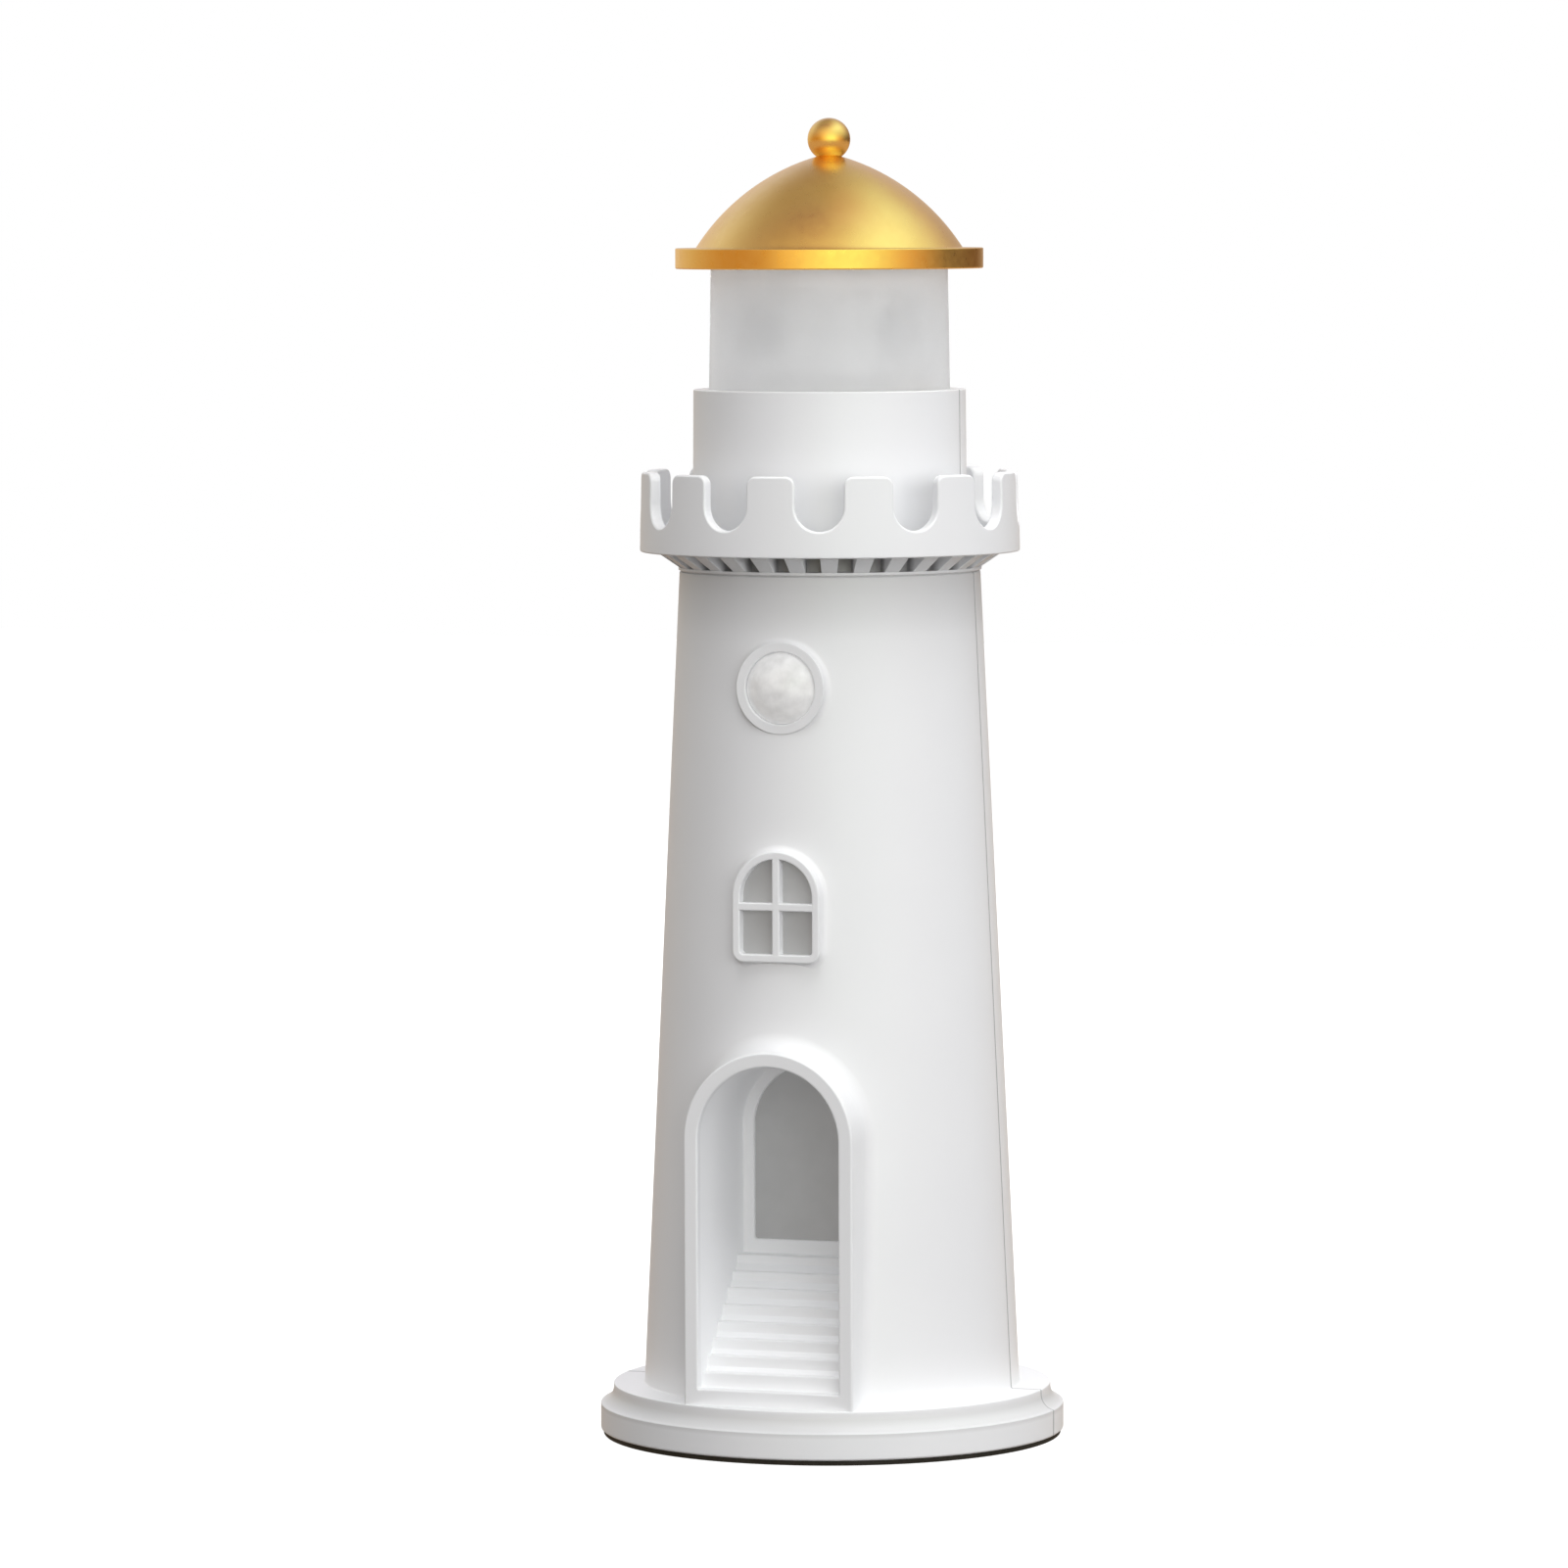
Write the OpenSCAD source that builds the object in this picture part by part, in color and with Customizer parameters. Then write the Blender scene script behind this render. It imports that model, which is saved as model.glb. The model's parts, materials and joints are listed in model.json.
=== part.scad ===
// Lighthouse projection lamp, in millimetres.
// The lamp stands on z = 0 with its axis on the Z axis, and its doorway faces -Y.

/* [Base] */
// Radius of the base rim
base_r = 50; // [48:0.5:56]
// Height of the upright band of the rim
rim_h = 5.6; // [4.6:0.1:9]
// Width of the hollow moulding above the rim
cove_w = 2.8; // [2.2:0.1:3.4]
// Height of the hollow moulding above the rim
cove_h = 3.5; // [3.4:0.1:4.5]
// Height of the upright lip above the hollow moulding
lip_h = 0.9; // [0.5:0.1:2]
// Thickness of the rubber pad under the base
pad_h = 1.1; // [0.8:0.1:2.5]
// How far the rubber pad stays inside the rim
pad_inset = 0.6; // [0.3:0.1:1.5]
// Thickness of the base plate
plate_t = 2; // [1.6:0.1:3]
// Gap between the ballast weight and the screw posts
ballast_gap = 2; // [1:0.1:6]
// Thickness of the ballast weight
ballast_t = 4; // [2:0.5:5]

/* [Tower] */
// Radius of the tower where it meets the base
tower_foot_r = 40.5; // [39.5:0.1:43]
// Radius of the tower under the gallery
tower_top_r = 32.3; // [31.5:0.1:34]
// Height of the tower from the base to the gallery
tower_h = 175.3; // [170:0.1:200]
// Wall of the two shells
wall = 2.2; // [1.6:0.1:2.6]
// Radius of the snap pins that join the two shells
pin_r = 1.3; // [1:0.1:1.6]

/* [Watch room] */
// Radius of the drum at its foot
drum_foot_r = 29.5; // [29:0.05:30.5]
// Radius of the drum at its top
drum_top_r = 29.2; // [29:0.05:30]
// Height of the drum above the tower
drum_h = 38.9; // [36:0.1:48]

/* [Gallery] */
// Height of the corbel ring
corbel_h = 4.2; // [3:0.1:6]
// Radius of the corbel ring at its top
corbel_r = 36.8; // [36:0.1:38.4]
// Height of the plain collar under the corbels
collar_h = 0.9; // [0.5:0.1:1.5]
// Wall of the collar round the drum
collar_wall = 2.25; // [1.5:0.05:3]
// Number of slots between the corbels
slot_count = 30; // [18:1:40]
// Outer radius of the gallery at its top
gallery_r = 40.5; // [40:0.1:44]
// How much wider the gallery is at its foot
gallery_flare = 0.3; // [0:0.05:0.8]
// Height of the gallery wall
gallery_h = 17.2; // [15:0.1:20]
// Thickness of the gallery wall
gallery_wall = 2.55; // [1.8:0.05:3]
// Thickness of the gallery floor
gallery_floor = 2.4; // [1.6:0.1:3.5]
// Number of merlons on the gallery wall
merlon_count = 12; // [8:1:14]
// Width of the notch between two merlons
notch_w = 10.4; // [8:0.1:12]
// Depth of the notch between two merlons
notch_h = 11.6; // [9:0.1:13]
// Radius of the upper corners of a merlon
merlon_corner = 2; // [1:0.1:3]

/* [Doorway] */
// Width of the door frame
door_w = 37.6; // [34:0.1:39]
// Height of the door frame above the base
door_h = 75.4; // [70:0.1:84]
// Width of the border of the door frame
door_border = 3.15; // [2.8:0.05:3.6]
// How far the door frame stands out beyond the foot of the tower
door_proud = 2.8; // [2:0.1:3.6]
// Depth of the alcove behind the front of the door frame
alcove_depth = 30.2; // [29.6:0.1:32]
// Wall of the alcove
alcove_wall = 1.6; // [1.2:0.1:1.9]
// Height of the sill above the base
sill_h = 3.4; // [2.8:0.1:4.5]
// Number of steps above the sill
step_count = 8; // [5:1:8]
// Rise of one step
step_rise = 3.19; // [2.5:0.01:3.5]
// Depth of one step
step_run = 3.24; // [2.8:0.01:3.3]
// Border round the pane at the back of the alcove
pane_border = 2.4; // [1.8:0.1:3.5]
// Height of the lower edge of that pane above the landing
pane_sill = 3; // [2:0.1:6]

/* [Window] */
// Width of the window frame
window_w = 19.45; // [16:0.05:22]
// Height of the window frame
window_h = 23.6; // [20:0.1:28]
// Height of the window frame's foot above the base
window_z = 93.9; // [88:0.1:105]
// Width of the border of the window frame
window_border = 1.7; // [1.3:0.05:2.2]
// Width of the cross bars
window_bar = 1.65; // [1.2:0.05:2.4]
// Radius of the lower outer corners of the window frame
window_corner = 2.4; // [1.8:0.1:3]
// How far the window frame stands out beyond the tower at its middle
window_proud = 1.9; // [1.4:0.1:3]
// How far the pane lies behind the front of the window frame
pane_recess = 2.6; // [2:0.1:3]

/* [Panes] */
// Thickness of the frosted panes
pane_t = 1.5; // [1:0.1:2]

/* [Motion sensor] */
// Distance of the sensor's centre below the gallery
sensor_drop = 23.5; // [19:0.1:36]
// Radius of the sensor's lens
sensor_lens_r = 7.5; // [6.5:0.1:8.5]
// How far the lens bulges
sensor_lens_bulge = 3.3; // [2:0.1:5]
// Width of the ring round the lens
sensor_ring_w = 2.05; // [1.2:0.05:2.4]
// How far the ring stands out beyond the tower
sensor_proud = 0.7; // [0.4:0.1:1.5]

/* [Lantern] */
// Radius of the lantern at its foot
lantern_foot_r = 25.85; // [25.5:0.05:26.2]
// Radius of the lantern at its top
lantern_top_r = 25.4; // [25.2:0.05:26]
// Height of the lantern above the drum
lantern_h = 25.8; // [25:0.1:34]
// Wall of the lantern
lantern_wall = 1.5; // [1:0.1:1.6]

/* [Cap] */
// Radius of the brim
brim_r = 33; // [31:0.1:38]
// Thickness of the brim
brim_h = 4.4; // [3.5:0.05:6]
// Radius of the dome where it stands on the brim
dome_r = 28.6; // [27.5:0.1:30]
// Height of the dome up to its point
dome_h = 20.2; // [18:0.05:24]
// Radius of the arc that the dome's side follows
dome_arc_r = 46; // [40:0.5:70]
// Wall of the dome
dome_wall = 1.8; // [1.2:0.1:2.4]
// Radius of the finial's ball
ball_r = 4.58; // [3.5:0.02:6]
// Radius of the finial's neck
neck_r = 2.5; // [2:0.1:3.2]
// Radius of the finial's stud
stud_r = 1.5; // [1:0.1:1.8]

/* [Projector] */
// Module of the two gears
gear_module = 0.5; // [0.48:0.01:0.52]
// Teeth of the rotor's gear
wheel_teeth = 60; // [56:4:60]
// Teeth of the motor's pinion
pinion_teeth = 15; // [14:1:16]
// Width of the rotor's gear
gear_t = 3; // [2:0.1:3.2]
// Outer radius of the rotor's drum
rotor_r = 20; // [18:0.1:21]
// Height of the rotor's drum
rotor_drum_h = 18; // [16:0.1:18.5]
// Wall of the rotor's drum
rotor_wall = 1.2; // [0.8:0.1:1.6]
// Number of lenses in the rotor's drum
lens_count = 4; // [3:1:6]
// Radius of a lens in the rotor's drum
beam_lens_r = 6; // [5:0.1:6.5]
// Radius of the post that carries the light
post_r = 4; // [3.2:0.1:4.6]
// Height of the post above the deck
post_h = 15; // [14:0.1:15.5]
// Radius of the round light board on the post
led_board_r = 7.5; // [6.5:0.1:9]
// Radius of the gear motor
motor_r = 6; // [5:0.1:6]
// Length of the gear motor
motor_h = 14; // [10:0.5:18]
// Radius of the motor's shaft
shaft_r = 1; // [0.75:0.05:1.5]

/* [Power] */
// Radius of the battery cell
cell_r = 9.25; // [7:0.05:9.25]
// Length of the battery cell
cell_h = 65; // [50:0.5:66]
// Thickness of the circuit boards
board_t = 1.6; // [1:0.1:1.6]
// Width of the main board
main_board_w = 22; // [20:0.5:24]
// Height of the main board
main_board_h = 82; // [80:0.5:90]

/* [Controls] */
// Half the width of the flat control panel on the back
panel_half_w = 8; // [7.5:0.1:9]
// Height of the control panel
panel_h = 38; // [36:0.5:42]
// Thickness of the control panel
panel_t = 2; // [1.6:0.1:2.4]
// Width of the charging port
port_w = 8.94; // [8.5:0.02:9.4]
// Height of the charging port
port_h = 3.26; // [3:0.02:3.6]
// Depth of the charging port
port_d = 6.5; // [6.2:0.1:7.5]
// Radius of the push button
button_r = 3.9; // [3.2:0.1:4.2]
// Travel of the push button
button_travel = 0.8; // [0.4:0.1:1]
// Travel of the slide switch
slider_travel = 4; // [3:0.1:4.4]

/* [Fits] */
// Radial clearance of pieces that turn or slide in each other
run_fit = 0.05; // [0.02:0.01:0.08]
// Clearance round pieces that are placed and stay
place_fit = 0.2; // [0.1:0.05:0.3]
// Loss of tooth thickness that gives the gears their play
gear_play = 0.1; // [0.06:0.01:0.16]

/* [Hidden] */
$fn = 96;

// A cut runs this far past the face that it opens
over = 1;
edge_ease = 0.5;

// Levels, from the floor up
base_top = pad_h + rim_h + cove_h + lip_h;
cove_z = pad_h + rim_h + cove_h;
tower_top = base_top + tower_h;
drum_top = tower_top + drum_h;
lantern_top = drum_top + lantern_h;
brim_top = lantern_top + brim_h;
dome_top = brim_top + dome_h;

// Radii of the base and of the tower at a given height
base_top_r = base_r - cove_w;
rim_wall = 2.4;
rim_foot_h = 1.4;
rim_inner_r = base_r - rim_wall;
rim_inner_z = pad_h + plate_t + rim_foot_h;
function tower_r(z) = tower_foot_r - (z - base_top) * (tower_foot_r - tower_top_r) / tower_h;
function tower_skin_y(z, x) = sqrt(pow(tower_r(z), 2) - pow(x, 2));
function drum_r(z) = drum_foot_r - (z - tower_top) * (drum_foot_r - drum_top_r) / drum_h;
base_skin = 2.2;

// The lip and the ledge inside the drum trap the deck and the lantern's flange
top_lip_t = 2;
top_lip_r = lantern_foot_r + 0.15;
flange_t = 2.3;
deck_t = 2;
deck_top = drum_top - top_lip_t - place_fit - flange_t;
deck_bottom = deck_top - deck_t;
drum_inner_r = drum_r(deck_bottom) - wall;
ledge_r = lantern_foot_r - 0.95;
ledge_t = 2.2;

// Base fixings
base_post_r = 2.5;
base_post_inset = 4.1;
base_post_at = rim_inner_r - base_post_inset;
ballast_r = base_post_at - base_post_r - ballast_gap;
base_screw_r = 1.2;
base_head_r = 2.4;
base_head_t = 1;
base_screw_count = 4;
ballast_z = pad_h + plate_t;

// Snap pins along the seam
pin_boss_r = 2.6;
pin_boss_h = 6;
pin_reach = 4.5;
pin_heights = [0.27, 0.55, 0.83];

// Doorway and stairs; distances along Y are measured from the lamp's axis
door_front = -(tower_foot_r + door_proud);
door_lip = 2;
door_frame_l = 12.3;
door_back = door_front + door_frame_l;
door_top = base_top + door_h;
alcove_front = door_front + door_lip;
alcove_half_w = door_w / 2 - door_border;
alcove_top = door_top - door_border;
alcove_back = door_front + alcove_depth;
sill_top = base_top + sill_h;
landing_z = sill_top + step_count * step_rise;
stair_skin = 2.5;
stair_front_wall = 1.8;
landing_t = 1.4;
back_lip = 1;
back_t = back_lip + pane_t + 1;
pane_lap = 1.5;
pane_half_w = alcove_half_w - pane_border;
pane_foot = landing_z + pane_sill;
pane_top = alcove_top - pane_border;
alcove_rear = alcove_back + back_t;

// Light board behind the alcove
peg_l = 4;
peg_r = 1.2;
peg_root = 0.6;
peg_margin = 3;
pane_seat_half_w = pane_half_w + pane_lap + run_fit;
door_peg_x = (pane_seat_half_w + alcove_half_w + alcove_wall) / 2;
door_board_half_w = door_peg_x + peg_r + place_fit;
door_board_foot = pane_foot + back_lip;
door_board_top = alcove_top + 2 * back_lip;
door_peg_heights = [door_board_foot + peg_margin, alcove_top - alcove_half_w - peg_margin - 1];
door_board_front = alcove_rear + peg_l;
led_w = 3.5;
led_h = 2.8;
led_t = 1.4;
door_led_x = 5;
door_led_rise = 7;
door_led_pitch = 11;
window_led_x = 3.5;
window_led_z = 4.5;

// Window
window_foot = base_top + window_z;
window_top = window_foot + window_h;
window_mid = window_foot + window_h / 2;
window_front = -(tower_r(window_mid) + window_proud);
window_pane_front = window_front + pane_recess;
window_back = window_pane_front + pane_t + 1;
window_board_front = window_back + peg_l;
window_peg_x = window_w / 2 + 1.8;
window_board_half_w = window_peg_x + peg_r + 0.6;
window_board_half_h = 10;
window_peg_z = 6;
window_seat_in = 1;
skin_bite = 0.9;

// Motion sensor
sensor_mid = tower_top - sensor_drop;
sensor_front = -(tower_r(sensor_mid) + sensor_proud);
sensor_bore_r = sensor_lens_r + place_fit;
sensor_ring_r = sensor_bore_r + sensor_ring_w;
sensor_ring_l = 4;
sensor_back = sensor_front + sensor_ring_l;
sensor_flange_r = sensor_bore_r + 1.2;
sensor_flange_t = 1;
sensor_lens_wall = 0.8;
sensor_lens_lip = 0.15; // narrow flat ring where the lens's dome starts
sensor_board_depth = 9.8;
sensor_board_front = sensor_front + sensor_board_depth;
sensor_post_x = sensor_flange_r + place_fit + 2.6;
sensor_board_half_w = sensor_post_x + 2.4;
sensor_board_half_h = 9.5;
sensor_can_r = 4.1;
sensor_can_l = 3.6;

// Control panel, board and the parts on them, on the back
panel_rise = 5;
panel_sink = 0.4;
panel_foot = base_top + panel_rise;
panel_top = panel_foot + panel_h;
panel_face = sqrt(pow(tower_r(panel_top), 2) - pow(panel_half_w, 2)) - panel_sink;
panel_inner = panel_face - panel_t;
port_rise = 6.5;
slider_rise = 17.5;
button_rise = 29;
port_z = panel_foot + port_rise;
slider_z = panel_foot + slider_rise;
button_z = panel_foot + button_rise;
port_set_back = 0.3;
main_board_face = panel_face - port_set_back - port_d;
main_board_back = main_board_face - board_t;
main_board_foot = panel_foot - 2;
main_board_top = main_board_foot + main_board_h;
board_post_r = 2.2;
board_screw_r = 0.9;
board_screw_x = main_board_w / 2 - 2.6;
board_screw_heights = [main_board_foot + 3, main_board_top - 3];
board_head_r = 1.7;
board_head_t = 1.1;
switch_body_half = 3;
switch_gap = 0.15;
plunger_r = 1.75;
plunger_seat = 0.6;
button_flange_r = button_r + 1.1;
button_flange_t = 0.8;
button_stands = 0.9;
button_flange_back = panel_inner - run_fit - button_flange_t;
switch_body_top = button_flange_back - button_travel - switch_gap;
slider_body_half_w = 4.3;
slider_body_half_h = 2.2;
slider_body_l = 3.2;
slider_knob_half = 1.5;
slider_knob_half_h = 1.2;
slider_flange_t = 0.8;
slider_flange_half_w = 3.8;
slider_stands = 0.8;
slider_rest = -slider_travel / 2;
slider_nub_l = 1.2;
slider_nub_half = 0.9;

// Battery, between the alcove and the main board
cradle_wall = 1.4;
cradle_end_t = 2;
cell_gap = 5.4;
cell_tip_r = 3;
cell_tip_h = 0.8;
cell_y = main_board_back - cell_gap - cell_r;
cradle_foot = ballast_z + ballast_t;
cell_foot = cradle_foot + cradle_end_t;
cradle_rise = 22;

// Projector
wheel_r = gear_module * wheel_teeth / 2;
pinion_r = gear_module * pinion_teeth / 2;
gear_distance = wheel_r + pinion_r;
pressure_angle = 20;
addendum = gear_module;
dedendum = 1.24 * gear_module;
flank_steps = 3;
post_flange_r = 8;
post_flange_t = 1.5;
post_bore_r = 1.6;
post_screw_at = 6.1;
post_screw_turn = 60;
post_screw_count = 3;
washer_t = 0.5;
hub_r = post_r + 2.4;
hub_foot = deck_top + post_flange_t + washer_t + run_fit;
gear_foot = hub_foot + 1;
rotor_floor = gear_foot + gear_t + 1.6;
rotor_floor_t = 1.4;
pinion_over = 0.25;
beam_z = rotor_floor + rotor_floor_t + rotor_drum_h / 2 - 0.4;
beam_lens_t = 1.6;
beam_lens_bulge = 2;
lens_turn = 63.5;
post_top = deck_top + post_h;
led_base_half = 2.5;
led_base_t = 0.8;
led_dome_r = 2.2;
motor_screw_at = 4.2;
motor_screw_l = 2.5;
motor_bore_l = 8;
shaft_bite = 7.5;
small_screw_r = 0.7;
small_head_r = 1.3;
small_head_t = 0.8;
motor_foot = deck_bottom - motor_h;

// Driver board under the deck
driver_drop = 4;
driver_top = deck_bottom - driver_drop;
driver_half_w = 8;
driver_y = [11, 23.5];
plug_half = 3;
plug_l = 4;
plug_below = 4;
door_plug_below = 5;
wire_r = 1.1;
door_wire_x = plug_half + 2;

// Cap
chord = norm([dome_r, dome_h]);
arc_drop = sqrt(pow(dome_arc_r, 2) - pow(chord / 2, 2));
dome_cx = dome_r / 2 - arc_drop * dome_h / chord;
dome_cz = brim_top + dome_h / 2 - arc_drop * dome_r / chord;
liner_r = lantern_top_r - 0.6;
liner_t = 1.2;
spigot_h = 4;
spigot_wall = 1.6;
cap_bore_r = liner_r - 1.4;
// Height of the ball's centre above the dome's point, as a share of its radius
ball_rise = 0.65;
ball_z = dome_top + ball_rise * ball_r;
nut_seat = dome_top - 3.4;
nut_r = 3;
nut_t = 2;

// Fills children() from y_from to y_to; their outline is drawn in X and Z
module along_y(y_from, y_to) {
    translate([0, y_to, 0]) rotate([90, 0, 0]) linear_extrude(height = y_to - y_from) children();
}

// Fills children() from -half_w to half_w; their outline is drawn in Y and Z
module along_x(half_w) {
    translate([-half_w, 0, 0]) rotate([90, 0, 90]) linear_extrude(height = 2 * half_w) children();
}

// A round bar along Y
module rod_y(r, y_from, y_to) {
    translate([0, y_to, 0]) rotate([90, 0, 0]) cylinder(r = r, h = y_to - y_from);
}

// A block centred in X
module block(half_w, y_from, y_to, z_from, z_to) {
    translate([-half_w, y_from, z_from]) cube([2 * half_w, y_to - y_from, z_to - z_from]);
}

// A round-topped outline, with rounded lower corners if corner is above 0
module arch(half_w, foot, top, corner = 0) {
    spring = top - half_w;
    translate([0, spring]) circle(r = half_w);
    translate([-half_w, foot + corner]) square([2 * half_w, spring - foot - corner]);
    if (corner > 0) {
        for (side = [-1, 1]) translate([side * (half_w - corner), foot + corner]) circle(r = corner);
        translate([corner - half_w, foot]) square([2 * (half_w - corner), corner]);
    }
}

// Copies of children() round the Z axis
module round_z(count, first = 0) {
    for (i = [0:count - 1]) rotate(first + i * 360 / count) children();
}

// The half space in front of the seam, or behind it
module front_half() {
    block(base_r + over, -base_r - over, 0, -over, drum_top + over);
}
module rear_half() {
    block(base_r + over, 0, base_r + over, -over, drum_top + over);
}

// Both shells as one turned wall
module turned_shell() {
    rotate_extrude() difference() {
        polygon([
            [rim_inner_r, pad_h], [base_r - edge_ease, pad_h], [base_r, pad_h + edge_ease],
            [base_r, cove_z], [base_top_r, cove_z], [base_top_r, base_top],
            [tower_foot_r, base_top], [tower_top_r, tower_top],
            [drum_foot_r, tower_top], [drum_top_r, drum_top],
            [top_lip_r, drum_top], [top_lip_r, drum_top - top_lip_t],
            [drum_r(drum_top - top_lip_t) - wall, drum_top - top_lip_t],
            [drum_inner_r, deck_bottom], [ledge_r, deck_bottom], [ledge_r, deck_bottom - ledge_t],
            [drum_inner_r, deck_bottom - ledge_t - (drum_inner_r - ledge_r)],
            [drum_foot_r - wall, tower_top - wall], [tower_top_r - wall, tower_top - wall],
            [tower_foot_r - wall, base_top - base_skin],
            [base_top_r - rim_wall, base_top - base_skin], [rim_inner_r, rim_inner_z]
        ]);
        translate([base_top_r + cove_h, cove_z]) circle(r = cove_h);
    }
}

// Posts under the base top that take the base screws
module base_posts(side) {
    for (angle = [45, 135]) rotate(side * angle)
        translate([base_post_at, 0, ballast_z])
            cylinder(r = base_post_r, h = base_top - base_skin / 2 - ballast_z);
}

// Places the snap pins: both sides of the seam, at three heights of the tower
module seam_places() {
    for (side = [-1, 1]) for (share = pin_heights) {
        z = base_top + share * tower_h;
        translate([side * (tower_r(z) - wall - 1.6), 0, z]) children();
    }
}

module front_shell() {
    color("white") difference() {
        union() {
            intersection() {
                turned_shell();
                front_half();
            }
            along_y(door_front, door_back) arch(door_w / 2, base_top, door_top);
            along_y(window_front, window_back) arch(window_w / 2, window_foot, window_top, window_corner);
            translate([0, 0, sensor_mid]) rod_y(sensor_ring_r, sensor_front, sensor_back);
            for (x = [-1, 1]) translate([x * sensor_post_x, 0, sensor_mid])
                rod_y(board_post_r, skin_bite - tower_skin_y(sensor_mid, sensor_post_x), sensor_board_front);
            for (x = [-1, 1]) for (z = [-1, 1] * window_peg_z)
                translate([x * window_peg_x, 0, window_mid + z])
                    rod_y(peg_r, skin_bite - tower_skin_y(window_mid + z, window_peg_x), window_board_front);
            base_posts(-1);
            seam_places() rod_y(pin_boss_r, -pin_boss_h, 0);
            seam_places() rod_y(pin_r, -1, pin_reach);
        }
        along_y(door_front - over, alcove_front) arch(alcove_half_w, sill_top, alcove_top);
        along_y(alcove_front, door_back + over)
            arch(alcove_half_w + alcove_wall + run_fit, base_top, alcove_top + alcove_wall + run_fit);
        difference() {
            along_y(window_front - over, window_pane_front)
                arch(window_w / 2 - window_border, window_foot + window_border,
                    window_top - window_border, window_corner / 3);
            block(window_bar / 2, window_front, window_back, window_foot, window_top);
            block(window_w / 2, window_front, window_back,
                window_mid - window_bar / 2, window_mid + window_bar / 2);
        }
        along_y(window_pane_front, window_back + 2 * over)
            arch(window_w / 2 - window_seat_in, window_foot + window_seat_in,
                window_top - window_seat_in, window_corner - window_seat_in);
        translate([0, 0, sensor_mid]) rod_y(sensor_bore_r, sensor_front - over, sensor_back + over);
        translate([0, 0, sensor_mid])
            rod_y(sensor_flange_r + place_fit, sensor_back, sensor_back + sensor_flange_t + 0.6);
        sensor_screws_at(0);
        base_screw_bores();
    }
}

module rear_shell() {
    color("white") difference() {
        union() {
            intersection() {
                turned_shell();
                rear_half();
            }
            intersection() {
                block(panel_half_w + 1.6, panel_inner, base_r, panel_foot - 1.6, panel_top + 1.6);
                translate([0, 0, base_top])
                    cylinder(r1 = tower_foot_r - 0.4, r2 = tower_top_r - 0.4, h = tower_h);
            }
            for (x = [-1, 1]) for (z = board_screw_heights)
                intersection() {
                    translate([x * board_screw_x, 0, z]) rod_y(board_post_r, main_board_face, base_r);
                    translate([0, 0, base_top - base_skin])
                        cylinder(r1 = tower_foot_r - 0.6, r2 = tower_top_r - 0.6, h = tower_h);
                }
            base_posts(1);
            seam_places() rod_y(pin_boss_r, 0, pin_boss_h);
        }
        along_y(panel_face, base_r) panel_outline();
        along_y(panel_inner - over, panel_face + over) translate([0, port_z]) port_outline(0.25);
        translate([0, 0, button_z]) rod_y(button_r + run_fit * 2, panel_inner - over, panel_face + over);
        block(slider_travel / 2 + slider_knob_half + place_fit, panel_inner - over, panel_face + over,
            slider_z - slider_knob_half_h - 0.1, slider_z + slider_knob_half_h + 0.1);
        seam_places() rod_y(pin_r + run_fit, -1, pin_reach + 0.5);
        main_screws_at(0);
        base_screw_bores();
    }
}

// The sunk flat of the control panel
module panel_outline() {
    corner = 3;
    for (x = [-1, 1]) for (z = [panel_foot + corner, panel_top - corner])
        translate([x * (panel_half_w - corner), z]) circle(r = corner);
    translate([-panel_half_w, panel_foot + corner]) square([2 * panel_half_w, panel_h - 2 * corner]);
    translate([corner - panel_half_w, panel_foot]) square([2 * (panel_half_w - corner), panel_h]);
}

// The rounded outline of the charging port, grown by a margin
module port_outline(margin) {
    r = port_h / 2 + margin;
    for (x = [-1, 1]) translate([x * (port_w - port_h) / 2, 0]) circle(r = r);
    translate([(port_h - port_w) / 2, -r]) square([port_w - port_h, 2 * r]);
}

module base_screw_bores() {
    round_z(base_screw_count, 45) translate([base_post_at, 0, 0])
        cylinder(r = base_screw_r, h = base_top - base_skin);
}

module base_plate() {
    color("gainsboro") difference() {
        translate([0, 0, pad_h]) cylinder(r = rim_inner_r - place_fit, h = plate_t);
        round_z(base_screw_count, 45) translate([base_post_at, 0, 0]) {
            cylinder(r = base_screw_r + 0.1, h = ballast_z + over);
            cylinder(r = base_head_r + 0.1, h = pad_h + base_head_t);
        }
    }
}

module base_screws() {
    color("silver") round_z(base_screw_count, 45) translate([base_post_at, 0, pad_h]) {
        cylinder(r = base_head_r, h = base_head_t);
        cylinder(r = base_screw_r - 0.02, h = base_top - base_skin - pad_h - 0.5);
    }
}

module rubber_pad() {
    ease = 0.3;
    color("black") rotate_extrude() polygon([
        [0, 0], [base_r - pad_inset - ease, 0], [base_r - pad_inset, ease],
        [base_r - pad_inset, pad_h], [0, pad_h]
    ]);
}

module ballast_weight() {
    color("dimgray") translate([0, 0, ballast_z]) difference() {
        cylinder(r = ballast_r, h = ballast_t);
        round_z(2) translate([ballast_r * 0.7, 0, -over]) cylinder(r = 2, h = ballast_t + 2 * over);
    }
}

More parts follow.
